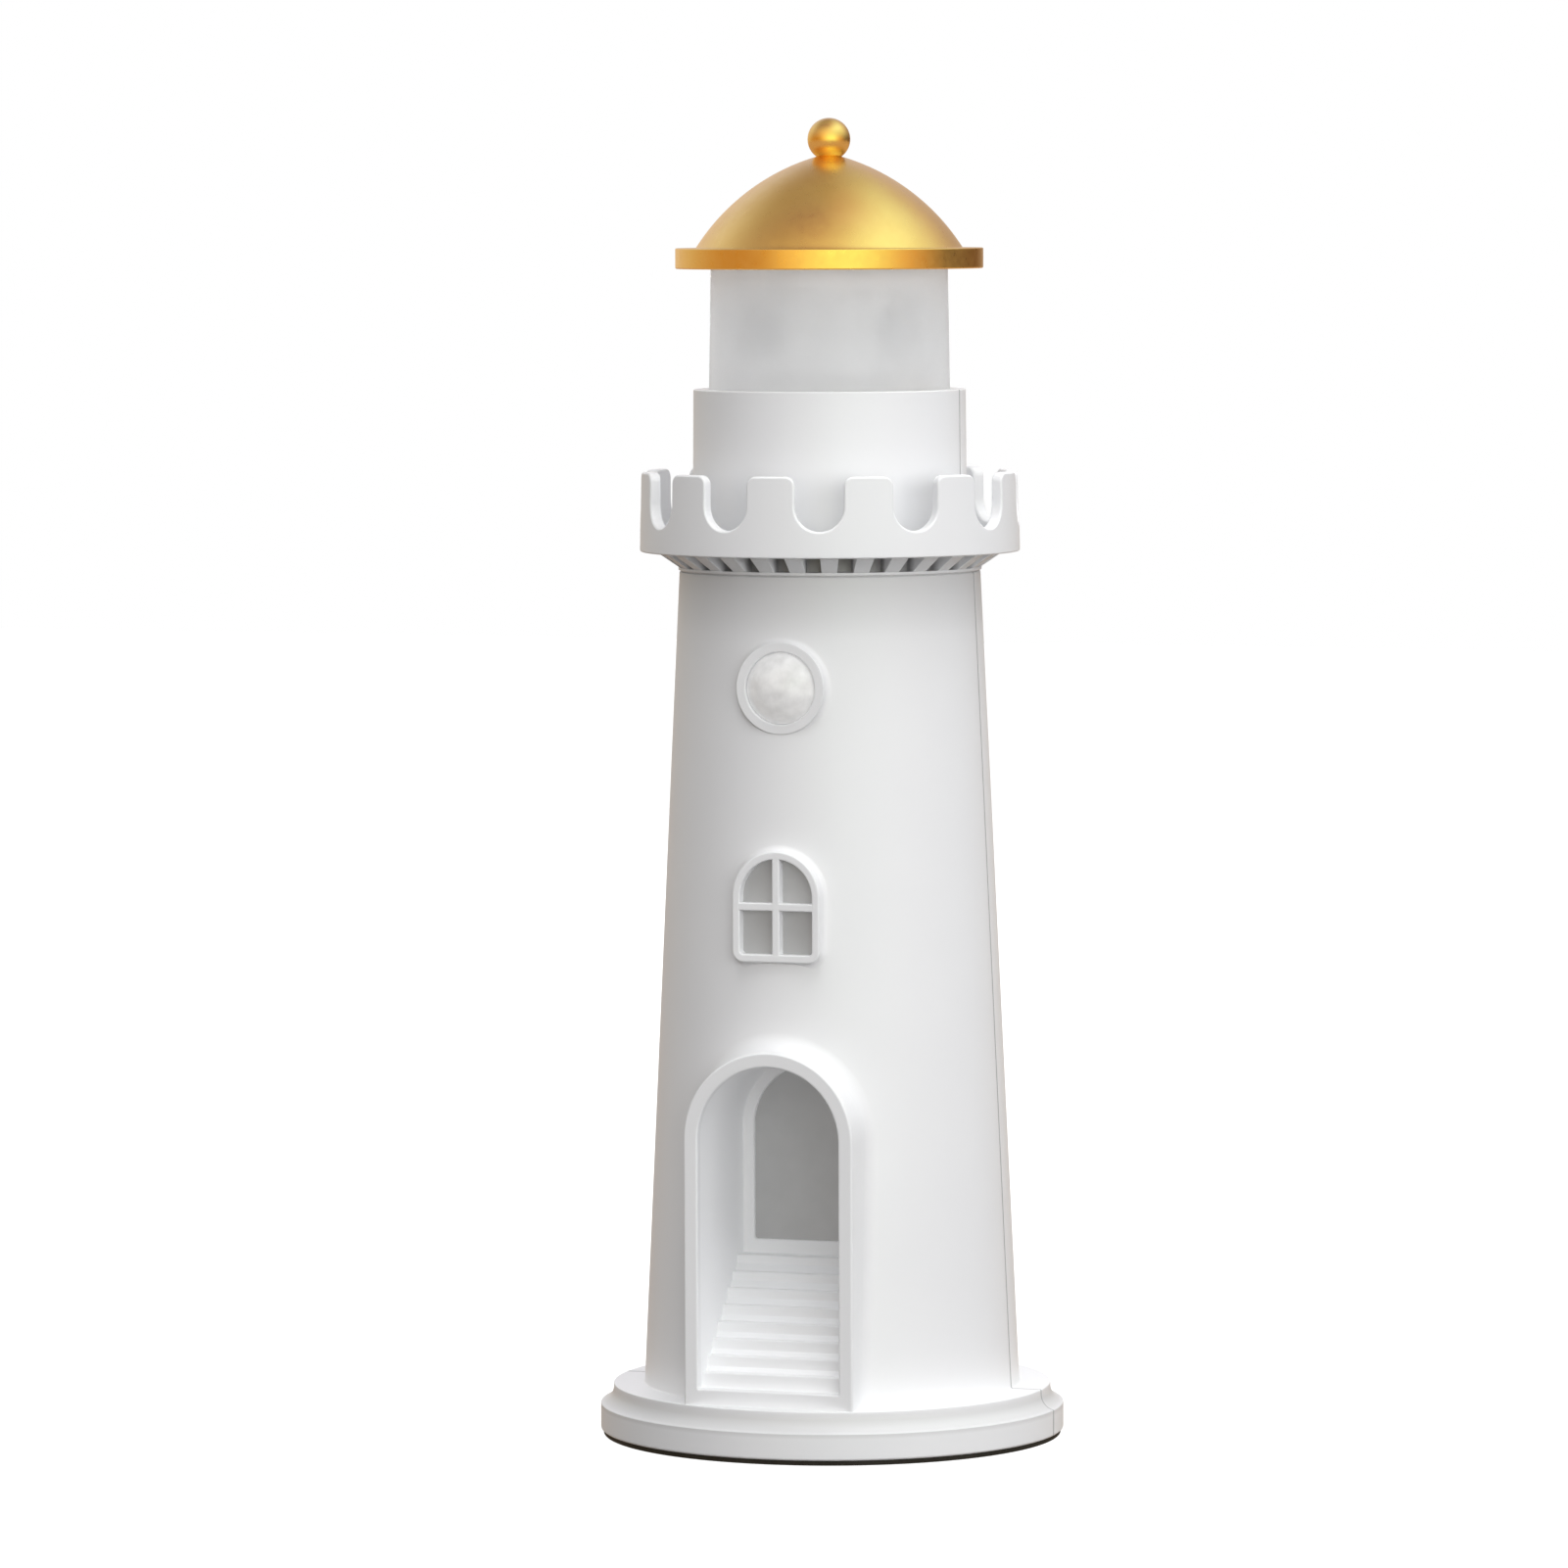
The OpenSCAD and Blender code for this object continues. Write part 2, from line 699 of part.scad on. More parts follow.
module corbel_ring() {
    bore_r = drum_foot_r + place_fit;
    foot_r = bore_r + collar_wall;
    collar_r = foot_r + 0.6;
    gap_line_h = 0.25;
    slot_angle = 180 / slot_count;
    slot_r = bore_r + 1.5;
    cut_r = corbel_r + 2;
    color("white") difference() {
        rotate_extrude() polygon([
            [bore_r, tower_top], [foot_r, tower_top], [foot_r, tower_top + gap_line_h],
            [collar_r, tower_top + gap_line_h], [collar_r, tower_top + collar_h],
            [corbel_r, tower_top + corbel_h - 0.4], [corbel_r, tower_top + corbel_h],
            [bore_r, tower_top + corbel_h]
        ]);
        round_z(slot_count, -90) translate([0, 0, tower_top + collar_h])
            linear_extrude(height = corbel_h) polygon([
                [slot_r * cos(slot_angle / 2), -slot_r * sin(slot_angle / 2)],
                [cut_r * cos(slot_angle / 2), -cut_r * sin(slot_angle / 2)],
                [cut_r * cos(slot_angle / 2), cut_r * sin(slot_angle / 2)],
                [slot_r * cos(slot_angle / 2), slot_r * sin(slot_angle / 2)]
            ]);
    }
}

// The outline cut between two merlons, with its top at z = 0
module notch_outline() {
    r = notch_w / 2;
    translate([0, r - notch_h]) circle(r = r);
    translate([-r, r - notch_h]) square([notch_w, notch_h - r + over]);
    for (side = [-1, 1]) difference() {
        translate([side * r, -merlon_corner]) translate([side > 0 ? 0 : -merlon_corner, 0])
            square([merlon_corner, merlon_corner + over]);
        translate([side * (r + merlon_corner), -merlon_corner]) circle(r = merlon_corner);
    }
}

module gallery_ring() {
    foot = tower_top + corbel_h;
    top = foot + gallery_h;
    bore_r = drum_foot_r + place_fit;
    ease = 0.4;
    color("white") difference() {
        rotate_extrude() polygon([
            [bore_r, foot], [gallery_r + gallery_flare - ease, foot],
            [gallery_r + gallery_flare, foot + ease], [gallery_r, top - ease], [gallery_r - ease, top],
            [gallery_r - gallery_wall + ease, top], [gallery_r - gallery_wall, top - ease],
            [gallery_r - gallery_wall, foot + gallery_floor], [bore_r, foot + gallery_floor]
        ]);
        round_z(merlon_count, 180 / merlon_count) translate([0, 0, top])
            along_y(-gallery_r - 2, -gallery_r + gallery_wall + 3) notch_outline();
    }
}

// The stepped block under the treads
module stairs_block() {
    slope = step_rise / step_run;
    under_y = alcove_front + stair_front_wall;
    under_z = sill_top + slope * (under_y - door_front - step_run) - stair_skin;
    treads = [for (k = [0:step_count], end = [0, 1])
        [end == 1 && k == step_count ? alcove_back : door_front + step_run * (k + end),
            sill_top + step_rise * k]];
    difference() {
        along_x(alcove_half_w) polygon(concat([[door_front, base_top - over]], treads,
            [[alcove_back, base_top - over]]));
        along_x(alcove_half_w) polygon([[under_y, base_top - 2 * over], [under_y, under_z],
            [alcove_back, min(landing_z - landing_t, under_z + slope * (alcove_back - under_y))],
            [alcove_back, base_top - 2 * over]]);
    }
}

module stair_alcove() {
    color("white") difference() {
        union() {
            along_y(alcove_front, alcove_rear)
                arch(alcove_half_w + alcove_wall, base_top, alcove_top + alcove_wall);
            for (x = [-1, 1]) for (z = door_peg_heights)
                translate([x * door_peg_x, 0, z]) rod_y(peg_r, alcove_rear - peg_root, door_board_front);
        }
        difference() {
            along_y(alcove_front - over, alcove_back) arch(alcove_half_w, base_top - over, alcove_top);
            stairs_block();
        }
        along_y(alcove_back - over, alcove_rear + over)
            arch(pane_half_w, pane_foot, pane_top);
        along_y(alcove_back + back_lip, alcove_rear + over)
            arch(pane_seat_half_w, pane_foot - pane_lap - run_fit, pane_top + pane_lap + run_fit);
    }
}

module door_pane() {
    color("darkgray") along_y(alcove_back + back_lip, alcove_back + back_lip + pane_t)
        arch(pane_half_w + pane_lap, pane_foot - pane_lap, pane_top + pane_lap);
}

module window_pane() {
    color("darkgray") along_y(window_pane_front, window_pane_front + pane_t)
        arch(window_w / 2 - window_seat_in - run_fit, window_foot + window_seat_in + run_fit,
            window_top - window_seat_in - run_fit, window_corner - window_seat_in);
}

module door_light_board() {
    color("seagreen") block(door_board_half_w, door_board_front, door_board_front + board_t,
        door_board_foot, door_board_top);
}

module door_leds() {
    color("khaki") for (x = [-door_led_x, door_led_x]) for (k = [0:2])
        translate([x, 0, door_board_foot + door_led_rise + k * door_led_pitch])
            block(led_w / 2, door_board_front - led_t, door_board_front, -led_h / 2, led_h / 2);
}

module window_light_board() {
    color("seagreen") translate([0, 0, window_mid]) {
        block(window_board_half_w, window_board_front, window_board_front + board_t,
            -window_board_half_h, window_board_half_h);
    }
}

module window_leds() {
    color("khaki") for (x = [-window_led_x, window_led_x]) for (z = [-window_led_z, window_led_z])
        translate([x, 0, window_mid + z])
            block(led_w / 2, window_board_front - led_t, window_board_front, -led_h / 2, led_h / 2);
}

module pir_lens() {
    r = sensor_lens_r;
    dome = r - sensor_lens_lip;
    ball = (dome * dome + sensor_lens_bulge * sensor_lens_bulge) / (2 * sensor_lens_bulge);
    rim = sensor_front + 0.6;
    color("whitesmoke") translate([0, 0, sensor_mid]) difference() {
        union() {
            intersection() {
                translate([0, rim - sensor_lens_bulge + ball, 0]) sphere(r = ball);
                rod_y(r + sensor_lens_wall, rim - sensor_lens_bulge - over, rim);
            }
            rod_y(r, rim, sensor_back);
            rod_y(sensor_flange_r, sensor_back, sensor_back + sensor_flange_t);
        }
        intersection() {
            translate([0, rim - sensor_lens_bulge + ball, 0]) sphere(r = ball - sensor_lens_wall);
            rod_y(r - sensor_lens_wall, rim - sensor_lens_bulge, rim);
        }
        rod_y(r - sensor_lens_wall, rim, sensor_back + sensor_flange_t + over);
    }
}

module pir_sensor() {
    color("silver") translate([0, 0, sensor_mid]) {
        rod_y(sensor_can_r + 0.5, sensor_board_front - 0.6, sensor_board_front);
        rod_y(sensor_can_r, sensor_board_front - sensor_can_l, sensor_board_front - 0.6);
    }
}

// Screws that hold the sensor board, or their bores if grow is 0
module sensor_screws_at(grow) {
    for (x = [-1, 1]) translate([x * sensor_post_x, 0, sensor_mid])
        rod_y(board_screw_r - grow, sensor_board_front - 4, sensor_board_front + board_t);
}

module main_screws_at(grow) {
    for (x = [-1, 1]) for (z = board_screw_heights)
        translate([x * board_screw_x, 0, z])
            rod_y(board_screw_r - grow, main_board_back, main_board_face + 4);
}

module pir_board() {
    color("seagreen") difference() {
        translate([0, 0, sensor_mid]) block(sensor_board_half_w, sensor_board_front,
            sensor_board_front + board_t, -sensor_board_half_h, sensor_board_half_h);
        sensor_screws_at(-0.1);
    }
}

module board_screws() {
    color("silver") {
        sensor_screws_at(0.02);
        for (x = [-1, 1]) translate([x * sensor_post_x, 0, sensor_mid])
            rod_y(board_head_r, sensor_board_front + board_t, sensor_board_front + board_t + board_head_t);
        main_screws_at(0.02);
        for (x = [-1, 1]) for (z = board_screw_heights) translate([x * board_screw_x, 0, z])
            rod_y(board_head_r, main_board_back - board_head_t, main_board_back);
    }
}

module battery_cell() {
    color("royalblue") translate([0, cell_y, cell_foot]) {
        cylinder(r = cell_r, h = cell_h);
        cylinder(r = cell_tip_r, h = cell_h + cell_tip_h);
    }
}

module battery_cradle() {
    r = cell_r + place_fit + cradle_wall;
    color("dimgray") translate([0, cell_y, 0]) difference() {
        union() {
            translate([0, 0, cradle_foot]) cylinder(r = r, h = cradle_rise + cradle_end_t);
            block(r - 3, 0, main_board_back - cell_y - 3.6, cradle_foot, cradle_foot + cradle_rise);
        }
        translate([0, 0, cell_foot]) cylinder(r = cell_r + place_fit, h = cradle_rise + over);
    }
}

module main_board() {
    color("seagreen") difference() {
        block(main_board_w / 2, main_board_back, main_board_face, main_board_foot, main_board_top);
        main_screws_at(-0.1);
    }
}

module board_parts() {
    chip = 5;
    chip_t = 1.2;
    chip_rise = 8;
    coil = 7;
    coil_t = 3;
    coil_foot = button_z + 4 * chip_rise;
    color("dimgray") {
        for (z = [chip_rise, 2.5 * chip_rise])
            block(chip / 2, main_board_face, main_board_face + chip_t, button_z + z, button_z + z + chip);
        block(coil / 2, main_board_face, main_board_face + coil_t, coil_foot, coil_foot + coil);
        block(plug_half, main_board_back - plug_l, main_board_back,
            main_board_top - plug_below - 2 * plug_half, main_board_top - plug_below);
        block(plug_half, driver_y[1] - plug_l, driver_y[1],
            driver_top - board_t - plug_l, driver_top - board_t);
    }
}

module usb_port() {
    shell_t = 0.3;
    back_t = 1;
    tongue_half = port_w / 2 - 1.2;
    tongue_half_t = 0.35;
    color("silver") difference() {
        along_y(main_board_face, main_board_face + port_d) translate([0, port_z]) port_outline(0);
        along_y(main_board_face + back_t, main_board_face + port_d + over)
            translate([0, port_z]) port_outline(-shell_t);
    }
    color("dimgray") block(tongue_half, main_board_face + 0.8 * back_t,
        main_board_face + port_d - 0.8 * back_t, port_z - tongue_half_t, port_z + tongue_half_t);
}

module button_switch() {
    color("black") translate([0, 0, button_z]) difference() {
        block(switch_body_half, main_board_face, switch_body_top, -switch_body_half, switch_body_half);
        rod_y(plunger_r + run_fit, main_board_face + plunger_seat, switch_body_top + over);
    }
}

module power_button() {
    color("white") translate([0, 0, button_z]) {
        rod_y(button_r, panel_inner - run_fit, panel_face + button_stands);
        rod_y(button_flange_r, button_flange_back, panel_inner - run_fit);
    }
}

module button_plunger() {
    seat = main_board_face + plunger_seat + button_travel + 0.1;
    color("dimgray") translate([0, 0, button_z]) rod_y(plunger_r, seat, button_flange_back);
}

module slide_switch() {
    slot_half = slider_travel / 2 + slider_nub_half + 0.1;
    color("silver") translate([0, 0, slider_z]) difference() {
        block(slider_body_half_w, main_board_face, main_board_face + slider_body_l,
            -slider_body_half_h, slider_body_half_h);
        block(slot_half, main_board_face + slider_body_l - slider_nub_l - 0.2,
            main_board_face + slider_body_l + over, -slider_nub_half - run_fit, slider_nub_half + run_fit);
    }
}

module mode_slider() {
    plate = panel_inner - run_fit;
    color("white") translate([slider_rest, 0, slider_z]) {
        block(slider_knob_half, plate, panel_face + slider_stands, -slider_knob_half_h, slider_knob_half_h);
        block(slider_flange_half_w, plate - slider_flange_t, plate, -slider_body_half_h, slider_body_half_h);
        block(slider_nub_half, main_board_face + slider_body_l - slider_nub_l, plate - slider_flange_t,
            -slider_nub_half, slider_nub_half);
    }
}

module lantern_diffuser() {
    flange_r = drum_r(deck_top) - wall - place_fit;
    color("lightgray") rotate_extrude() polygon([
        [lantern_foot_r - lantern_wall, deck_top], [flange_r, deck_top], [flange_r, deck_top + flange_t],
        [lantern_foot_r, deck_top + flange_t], [lantern_foot_r, drum_top],
        [lantern_top_r, lantern_top], [lantern_top_r - lantern_wall, lantern_top],
        [lantern_foot_r - lantern_wall, drum_top]
    ]);
}

module deck_screw_places() {
    for (side = [-1, 1]) translate([gear_distance, side * motor_screw_at, 0]) children();
    round_z(post_screw_count, post_screw_turn) translate([post_screw_at, 0, 0]) children();
}

module chassis_deck() {
    color("whitesmoke") difference() {
        union() {
            translate([0, 0, deck_bottom]) cylinder(r = drum_inner_r - place_fit, h = deck_t);
            for (x = [-1, 1] * (driver_half_w - 1.5 * peg_r))
                translate([x, (driver_y[0] + driver_y[1]) / 2, driver_top])
                    cylinder(r = peg_r, h = driver_drop + 0.5);
        }
        translate([gear_distance, 0, deck_bottom - over]) cylinder(r = shaft_r + 1, h = deck_t + 2 * over);
        translate([0, 0, deck_bottom - over]) cylinder(r = post_bore_r, h = deck_t + 2 * over);
        deck_screw_places() translate([0, 0, deck_bottom - over])
            cylinder(r = small_screw_r + 0.05, h = deck_t + 2 * over);
    }
}

module deck_screws() {
    color("silver") {
        for (side = [-1, 1]) translate([gear_distance, side * motor_screw_at, 0]) {
            translate([0, 0, deck_top]) cylinder(r = small_head_r, h = small_head_t);
            translate([0, 0, deck_bottom - 2]) cylinder(r = small_screw_r, h = deck_t + 2);
        }
        round_z(post_screw_count, post_screw_turn) translate([post_screw_at, 0, 0]) {
            translate([0, 0, deck_top + post_flange_t - small_head_t])
                cylinder(r = small_head_r - 0.02, h = small_head_t);
            translate([0, 0, deck_bottom]) cylinder(r = small_screw_r, h = deck_t + post_flange_t - 0.1);
        }
    }
}

module led_post() {
    color("silver") difference() {
        union() {
            translate([0, 0, deck_top]) cylinder(r = post_flange_r, h = post_flange_t);
            translate([0, 0, deck_top]) cylinder(r = post_r, h = post_h);
        }
        translate([0, 0, deck_top - over]) cylinder(r = post_bore_r, h = post_h + 2 * over);
        round_z(post_screw_count, post_screw_turn) translate([post_screw_at, 0, 0]) {
            translate([0, 0, deck_top - over])
                cylinder(r = small_screw_r + 0.05, h = post_flange_t + 2 * over);
            translate([0, 0, deck_top + post_flange_t - small_head_t])
                cylinder(r = small_head_r, h = small_head_t + over);
        }
    }
}

module rotor_washer() {
    color("gray") translate([0, 0, deck_top + post_flange_t]) difference() {
        cylinder(r = hub_r, h = washer_t);
        translate([0, 0, -over]) cylinder(r = post_r + run_fit, h = washer_t + 2 * over);
    }
}

module led_board() {
    color("whitesmoke") translate([0, 0, post_top]) cylinder(r = led_board_r, h = board_t);
}

module beam_led() {
    base = post_top + board_t;
    color("khaki") {
        translate([0, 0, base]) block(led_base_half, -led_base_half, led_base_half, 0, led_base_t);
        intersection() {
            translate([0, 0, base + led_base_t]) sphere(r = led_dome_r);
            translate([0, 0, base + led_base_t]) cylinder(r = led_dome_r + over, h = led_dome_r + over);
        }
    }
}

// Involute gear outline: each tooth rises along its two flanks from the root
function inv_angle(a) = tan(a) * 180 / PI - a;
function flank_half_angle(pitch_r, teeth, r) =
    90 / teeth - gear_play / (2 * pitch_r) * 180 / PI + inv_angle(pressure_angle)
    - inv_angle(acos(min(1, pitch_r * cos(pressure_angle) / r)));
function polar(r, a) = [r * cos(a), r * sin(a)];

module gear_outline(teeth) {
    pitch_r = gear_module * teeth / 2;
    root_r = pitch_r - dedendum;
    low_r = max(root_r, pitch_r * cos(pressure_angle));
    high_r = pitch_r + addendum;
    radii = [for (i = [0:flank_steps]) low_r + (high_r - low_r) * i / flank_steps];
    low_half = flank_half_angle(pitch_r, teeth, low_r);
    polygon([for (t = [0:teeth - 1]) each concat(
        [polar(root_r - 0.01, 360 * t / teeth - low_half)],
        [for (r = radii) polar(r, 360 * t / teeth - flank_half_angle(pitch_r, teeth, r))],
        [for (i = [flank_steps:-1:0])
            polar(radii[i], 360 * t / teeth + flank_half_angle(pitch_r, teeth, radii[i]))],
        [polar(root_r - 0.01, 360 * t / teeth + low_half)]
    )]);
}

module beam_rotor() {
    color("whitesmoke") difference() {
        union() {
            translate([0, 0, hub_foot]) cylinder(r = hub_r, h = rotor_floor + rotor_floor_t - hub_foot);
            translate([0, 0, gear_foot]) linear_extrude(height = gear_t) gear_outline(wheel_teeth);
            translate([0, 0, rotor_floor]) cylinder(r = rotor_r, h = rotor_floor_t);
            translate([0, 0, rotor_floor]) difference() {
                cylinder(r = rotor_r, h = rotor_floor_t + rotor_drum_h);
                cylinder(r = rotor_r - rotor_wall, h = rotor_floor_t + rotor_drum_h + over);
            }
        }
        translate([0, 0, hub_foot - over]) cylinder(r = post_r + run_fit, h = rotor_floor + 2 * over);
        lens_places() rod_y(beam_lens_r + run_fit, -rotor_r - over, -rotor_r / 2);
    }
}

module lens_places() {
    round_z(lens_count, lens_turn) translate([0, 0, beam_z]) children();
}

module beam_lenses() {
    outer = sqrt(rotor_r * rotor_r - beam_lens_r * beam_lens_r);
    ball = (beam_lens_r * beam_lens_r + beam_lens_bulge * beam_lens_bulge) / (2 * beam_lens_bulge);
    color("lightgray") lens_places() {
        rod_y(beam_lens_r, -outer, -outer + beam_lens_t);
        intersection() {
            translate([0, -outer - beam_lens_bulge + ball, 0]) sphere(r = ball);
            rod_y(beam_lens_r, -outer - beam_lens_bulge - over, -outer);
        }
    }
}

module gear_motor() {
    color("silver") translate([gear_distance, 0, motor_foot]) difference() {
        cylinder(r = motor_r, h = motor_h);
        translate([0, 0, motor_h - motor_bore_l]) cylinder(r = shaft_r + run_fit, h = motor_bore_l + over);
        for (side = [-1, 1]) translate([0, side * motor_screw_at, motor_h - motor_screw_l])
            cylinder(r = small_screw_r, h = motor_screw_l + over);
    }
}

module motor_shaft() {
    color("gray") translate([gear_distance, 0, deck_bottom - shaft_bite])
        cylinder(r = shaft_r, h = gear_foot + gear_t + pinion_over + shaft_bite - deck_bottom);
}

module motor_pinion() {
    color("goldenrod") translate([gear_distance, 0, gear_foot - pinion_over]) difference() {
        rotate(180 + 180 / pinion_teeth) linear_extrude(height = gear_t + 2 * pinion_over)
            gear_outline(pinion_teeth);
        translate([0, 0, -over]) cylinder(r = shaft_r, h = gear_t + 2 * pinion_over + 2 * over);
    }
}

module driver_board() {
    color("seagreen") block(driver_half_w, driver_y[0], driver_y[1], driver_top - board_t, driver_top);
}

// A straight bundle of wires between two points. Where it leans against the faces that it meets,
// it stops as far short of them as its end's edge needs.
module wire(from, to, lean = 0) {
    run = to - from;
    short = wire_r * tan(lean) + run_fit;
    translate(from) rotate([0, acos(run[2] / norm(run)), atan2(run[1], run[0])])
        translate([0, 0, short]) cylinder(r = wire_r, h = norm(run) - 2 * short);
}

// A bundle between two level faces
module wire_up(from, to) {
    run = to - from;
    wire(from, to, acos(run[2] / norm(run)));
}

module wire_harness() {
    plug_y = main_board_back - plug_l / 2;
    board_top = door_board_front + board_t / 2;
    window_y = window_board_front + board_t / 2;
    color("firebrick") {
        wire_up([0, plug_y, main_board_top - plug_below],
            [0, driver_y[1] - plug_l / 2, driver_top - board_t - plug_l]);
        wire([door_wire_x, door_board_front + board_t, door_board_top - door_plug_below],
            [door_wire_x, main_board_back, door_board_top - door_plug_below]);
        wire_up([0, board_top, door_board_top], [0, window_y, window_mid - window_board_half_h]);
        wire_up([0, window_y, window_mid + window_board_half_h],
            [0, sensor_board_front + board_t / 2, sensor_mid - sensor_board_half_h]);
    }
}

// The dome's side is one arc, turned round the axis
module dome_outline(inset) {
    intersection() {
        translate([dome_cx, dome_cz]) circle(r = dome_arc_r - inset, $fn = 180);
        translate([0, brim_top]) square([dome_r + over, dome_h + over]);
    }
}

module cap() {
    color("gold") difference() {
        union() {
            translate([0, 0, lantern_top]) cylinder(r = brim_r, h = brim_h);
            rotate_extrude() dome_outline(0);
        }
        translate([0, 0, lantern_top - over]) cylinder(r = liner_r + 0.1, h = liner_t + over);
        translate([0, 0, lantern_top]) cylinder(r = cap_bore_r, h = brim_h);
        difference() {
            rotate_extrude() intersection() {
                dome_outline(dome_wall);
                square([cap_bore_r, dome_top]);
            }
            translate([0, 0, nut_seat]) cylinder(r = nut_r + 1, h = dome_top);
        }
        translate([0, 0, nut_seat - over]) cylinder(r = stud_r + 0.1, h = dome_top);
        translate([0, 0, dome_top - 1]) cylinder(r = neck_r + 0.05, h = dome_top);
        translate([0, 0, ball_z]) sphere(r = ball_r + run_fit);
    }
}

module cap_liner() {
    spigot_r = lantern_top_r - lantern_wall - 0.1;
    color("whitesmoke") {
        translate([0, 0, lantern_top]) cylinder(r = liner_r, h = liner_t);
        translate([0, 0, lantern_top - spigot_h]) difference() {
            cylinder(r = spigot_r, h = spigot_h);
            translate([0, 0, -over]) cylinder(r = spigot_r - spigot_wall, h = spigot_h + over);
        }
    }
}

module finial() {
    color("gold") {
        translate([0, 0, ball_z]) sphere(r = ball_r);
        translate([0, 0, dome_top - 1]) cylinder(r = neck_r, h = ball_z - dome_top + 1);
        translate([0, 0, nut_seat - nut_t - 1]) cylinder(r = stud_r, h = dome_top - nut_seat + nut_t + 1);
    }
}

module finial_nut() {
    color("silver") translate([0, 0, nut_seat - nut_t]) difference() {
        cylinder(r = nut_r, h = nut_t, $fn = 6);
        translate([0, 0, -over]) cylinder(r = stud_r + 0.01, h = nut_t + 2 * over);
    }
}

front_shell();
rear_shell();
base_plate();
rubber_pad();
ballast_weight();
base_screws();
gallery_ring();
corbel_ring();
stair_alcove();
door_pane();
window_pane();
door_light_board();
door_leds();
window_light_board();
window_leds();
pir_lens();
pir_sensor();
pir_board();
board_screws();
battery_cell();
battery_cradle();
main_board();
board_parts();
usb_port();
power_button();
button_plunger();
button_switch();
mode_slider();
slide_switch();
lantern_diffuser();
chassis_deck();
deck_screws();
led_post();
led_board();
beam_led();
rotor_washer();
beam_rotor();
beam_lenses();
gear_motor();
motor_shaft();
motor_pinion();
driver_board();
wire_harness();
cap();
cap_liner();
finial();
finial_nut();
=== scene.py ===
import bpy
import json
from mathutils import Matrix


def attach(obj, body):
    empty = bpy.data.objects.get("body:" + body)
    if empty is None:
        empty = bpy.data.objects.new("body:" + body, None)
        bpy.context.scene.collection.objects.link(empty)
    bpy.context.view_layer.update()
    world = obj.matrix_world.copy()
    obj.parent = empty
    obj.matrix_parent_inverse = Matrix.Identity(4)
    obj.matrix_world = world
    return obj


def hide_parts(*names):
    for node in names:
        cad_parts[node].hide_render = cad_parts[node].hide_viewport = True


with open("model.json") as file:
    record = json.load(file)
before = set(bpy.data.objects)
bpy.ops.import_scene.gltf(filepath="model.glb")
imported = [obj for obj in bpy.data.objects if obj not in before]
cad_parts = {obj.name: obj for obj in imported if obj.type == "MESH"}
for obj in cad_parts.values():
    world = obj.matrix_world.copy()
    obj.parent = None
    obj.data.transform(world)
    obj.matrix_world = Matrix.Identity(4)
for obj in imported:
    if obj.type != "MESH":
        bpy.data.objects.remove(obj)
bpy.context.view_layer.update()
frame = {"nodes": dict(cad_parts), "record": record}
nodes = frame["nodes"]

# %% [markdown]
# All the sizes below are in millimetres, because that is how the object was measured. Blender works
# in metres, so each mesh is scaled once, when it is made.
# %% Units and modules
import json
import math
from contextlib import contextmanager

import bmesh
import bpy
import numpy as np
from mathutils import Matrix, Vector

MM = 0.001
scene = bpy.context.scene


def put(name, data):
    """A new object in the scene that shows a mesh, a lamp or a camera."""
    made = bpy.data.objects.new(name, data)
    scene.collection.objects.link(made)
    return made


print("Blender", bpy.app.version_string)

# %% [markdown]
# ## The camera
# The photograph was taken from a little under two metres with a long lens, about level with the
# cap: the brim shows as a straight band, and the gallery and the base as wider and wider ellipses.
# How far each ellipse opens gives the height and the distance, and the outline gives the rest.
# The camera stands a little to the right of the doorway, so the door shows left of the middle.
# It is aimed by turning it, and not by shifting the lens, so that other views stay centred.
# %% Camera
CAMERA_AZIMUTH = math.radians(18.25)
CAMERA_DISTANCE, CAMERA_HEIGHT = 1777.5, 267.43
CAMERA_PITCH, CAMERA_YAW, CAMERA_ROLL = (math.radians(a) for a in (4.088, 0.323, 0.173))
LENS_MM = 190.136


def aim_camera():
    """Makes the camera at its measured place, pitched down, turned a little left and rolled."""
    data = bpy.data.cameras.new("camera")
    camera = put("camera", data)
    data.lens, data.sensor_width = LENS_MM, 36
    data.clip_start, data.clip_end = 0.1, 20
    side, back = math.sin(CAMERA_AZIMUTH), -math.cos(CAMERA_AZIMUTH)
    camera.location = Vector((side * CAMERA_DISTANCE, back * CAMERA_DISTANCE, CAMERA_HEIGHT)) * MM
    turn = (Matrix.Rotation(CAMERA_AZIMUTH + CAMERA_YAW, 4, "Z")
            @ Matrix.Rotation(math.pi / 2 - CAMERA_PITCH, 4, "X")
            @ Matrix.Rotation(-CAMERA_ROLL, 4, "Z"))
    camera.rotation_euler = turn.to_euler()
    scene.camera = camera
    return camera


camera = aim_camera()
scene.view_settings.view_transform = "Standard"
print("camera at", tuple(round(c, 3) for c in camera.location))

# %% [markdown]
# ## Light and floor
# The white tower tells where the light came from: it is brightest a little right of its middle,
# darker at both edges, and dark under the gallery, and the base's top is nearly white. So three
# boxes stand high over the front and the right, two strong ones stand low to the right of the door,
# and four more light the edges from the sides and from behind. Each box is a soft square lamp, and
# the table gives its azimuth, its elevation and its watts.
# The boxes stay out of mirror rays, because the gold shows its own panorama of the studio.
# %% Lamps
BOXES = [(30, 8, 5.9), (60, 8, 6.4), (90, 8, 0.9), (-120, 8, 2.4), (150, 40, 1.3),
         (0, 70, 7.0), (60, 70, 3.6), (120, 70, 6.8), (-150, 25, 6.3)]
BOX_SIZE, BOX_DISTANCE, AIM_HEIGHT = 0.8, 1.6, 0.15


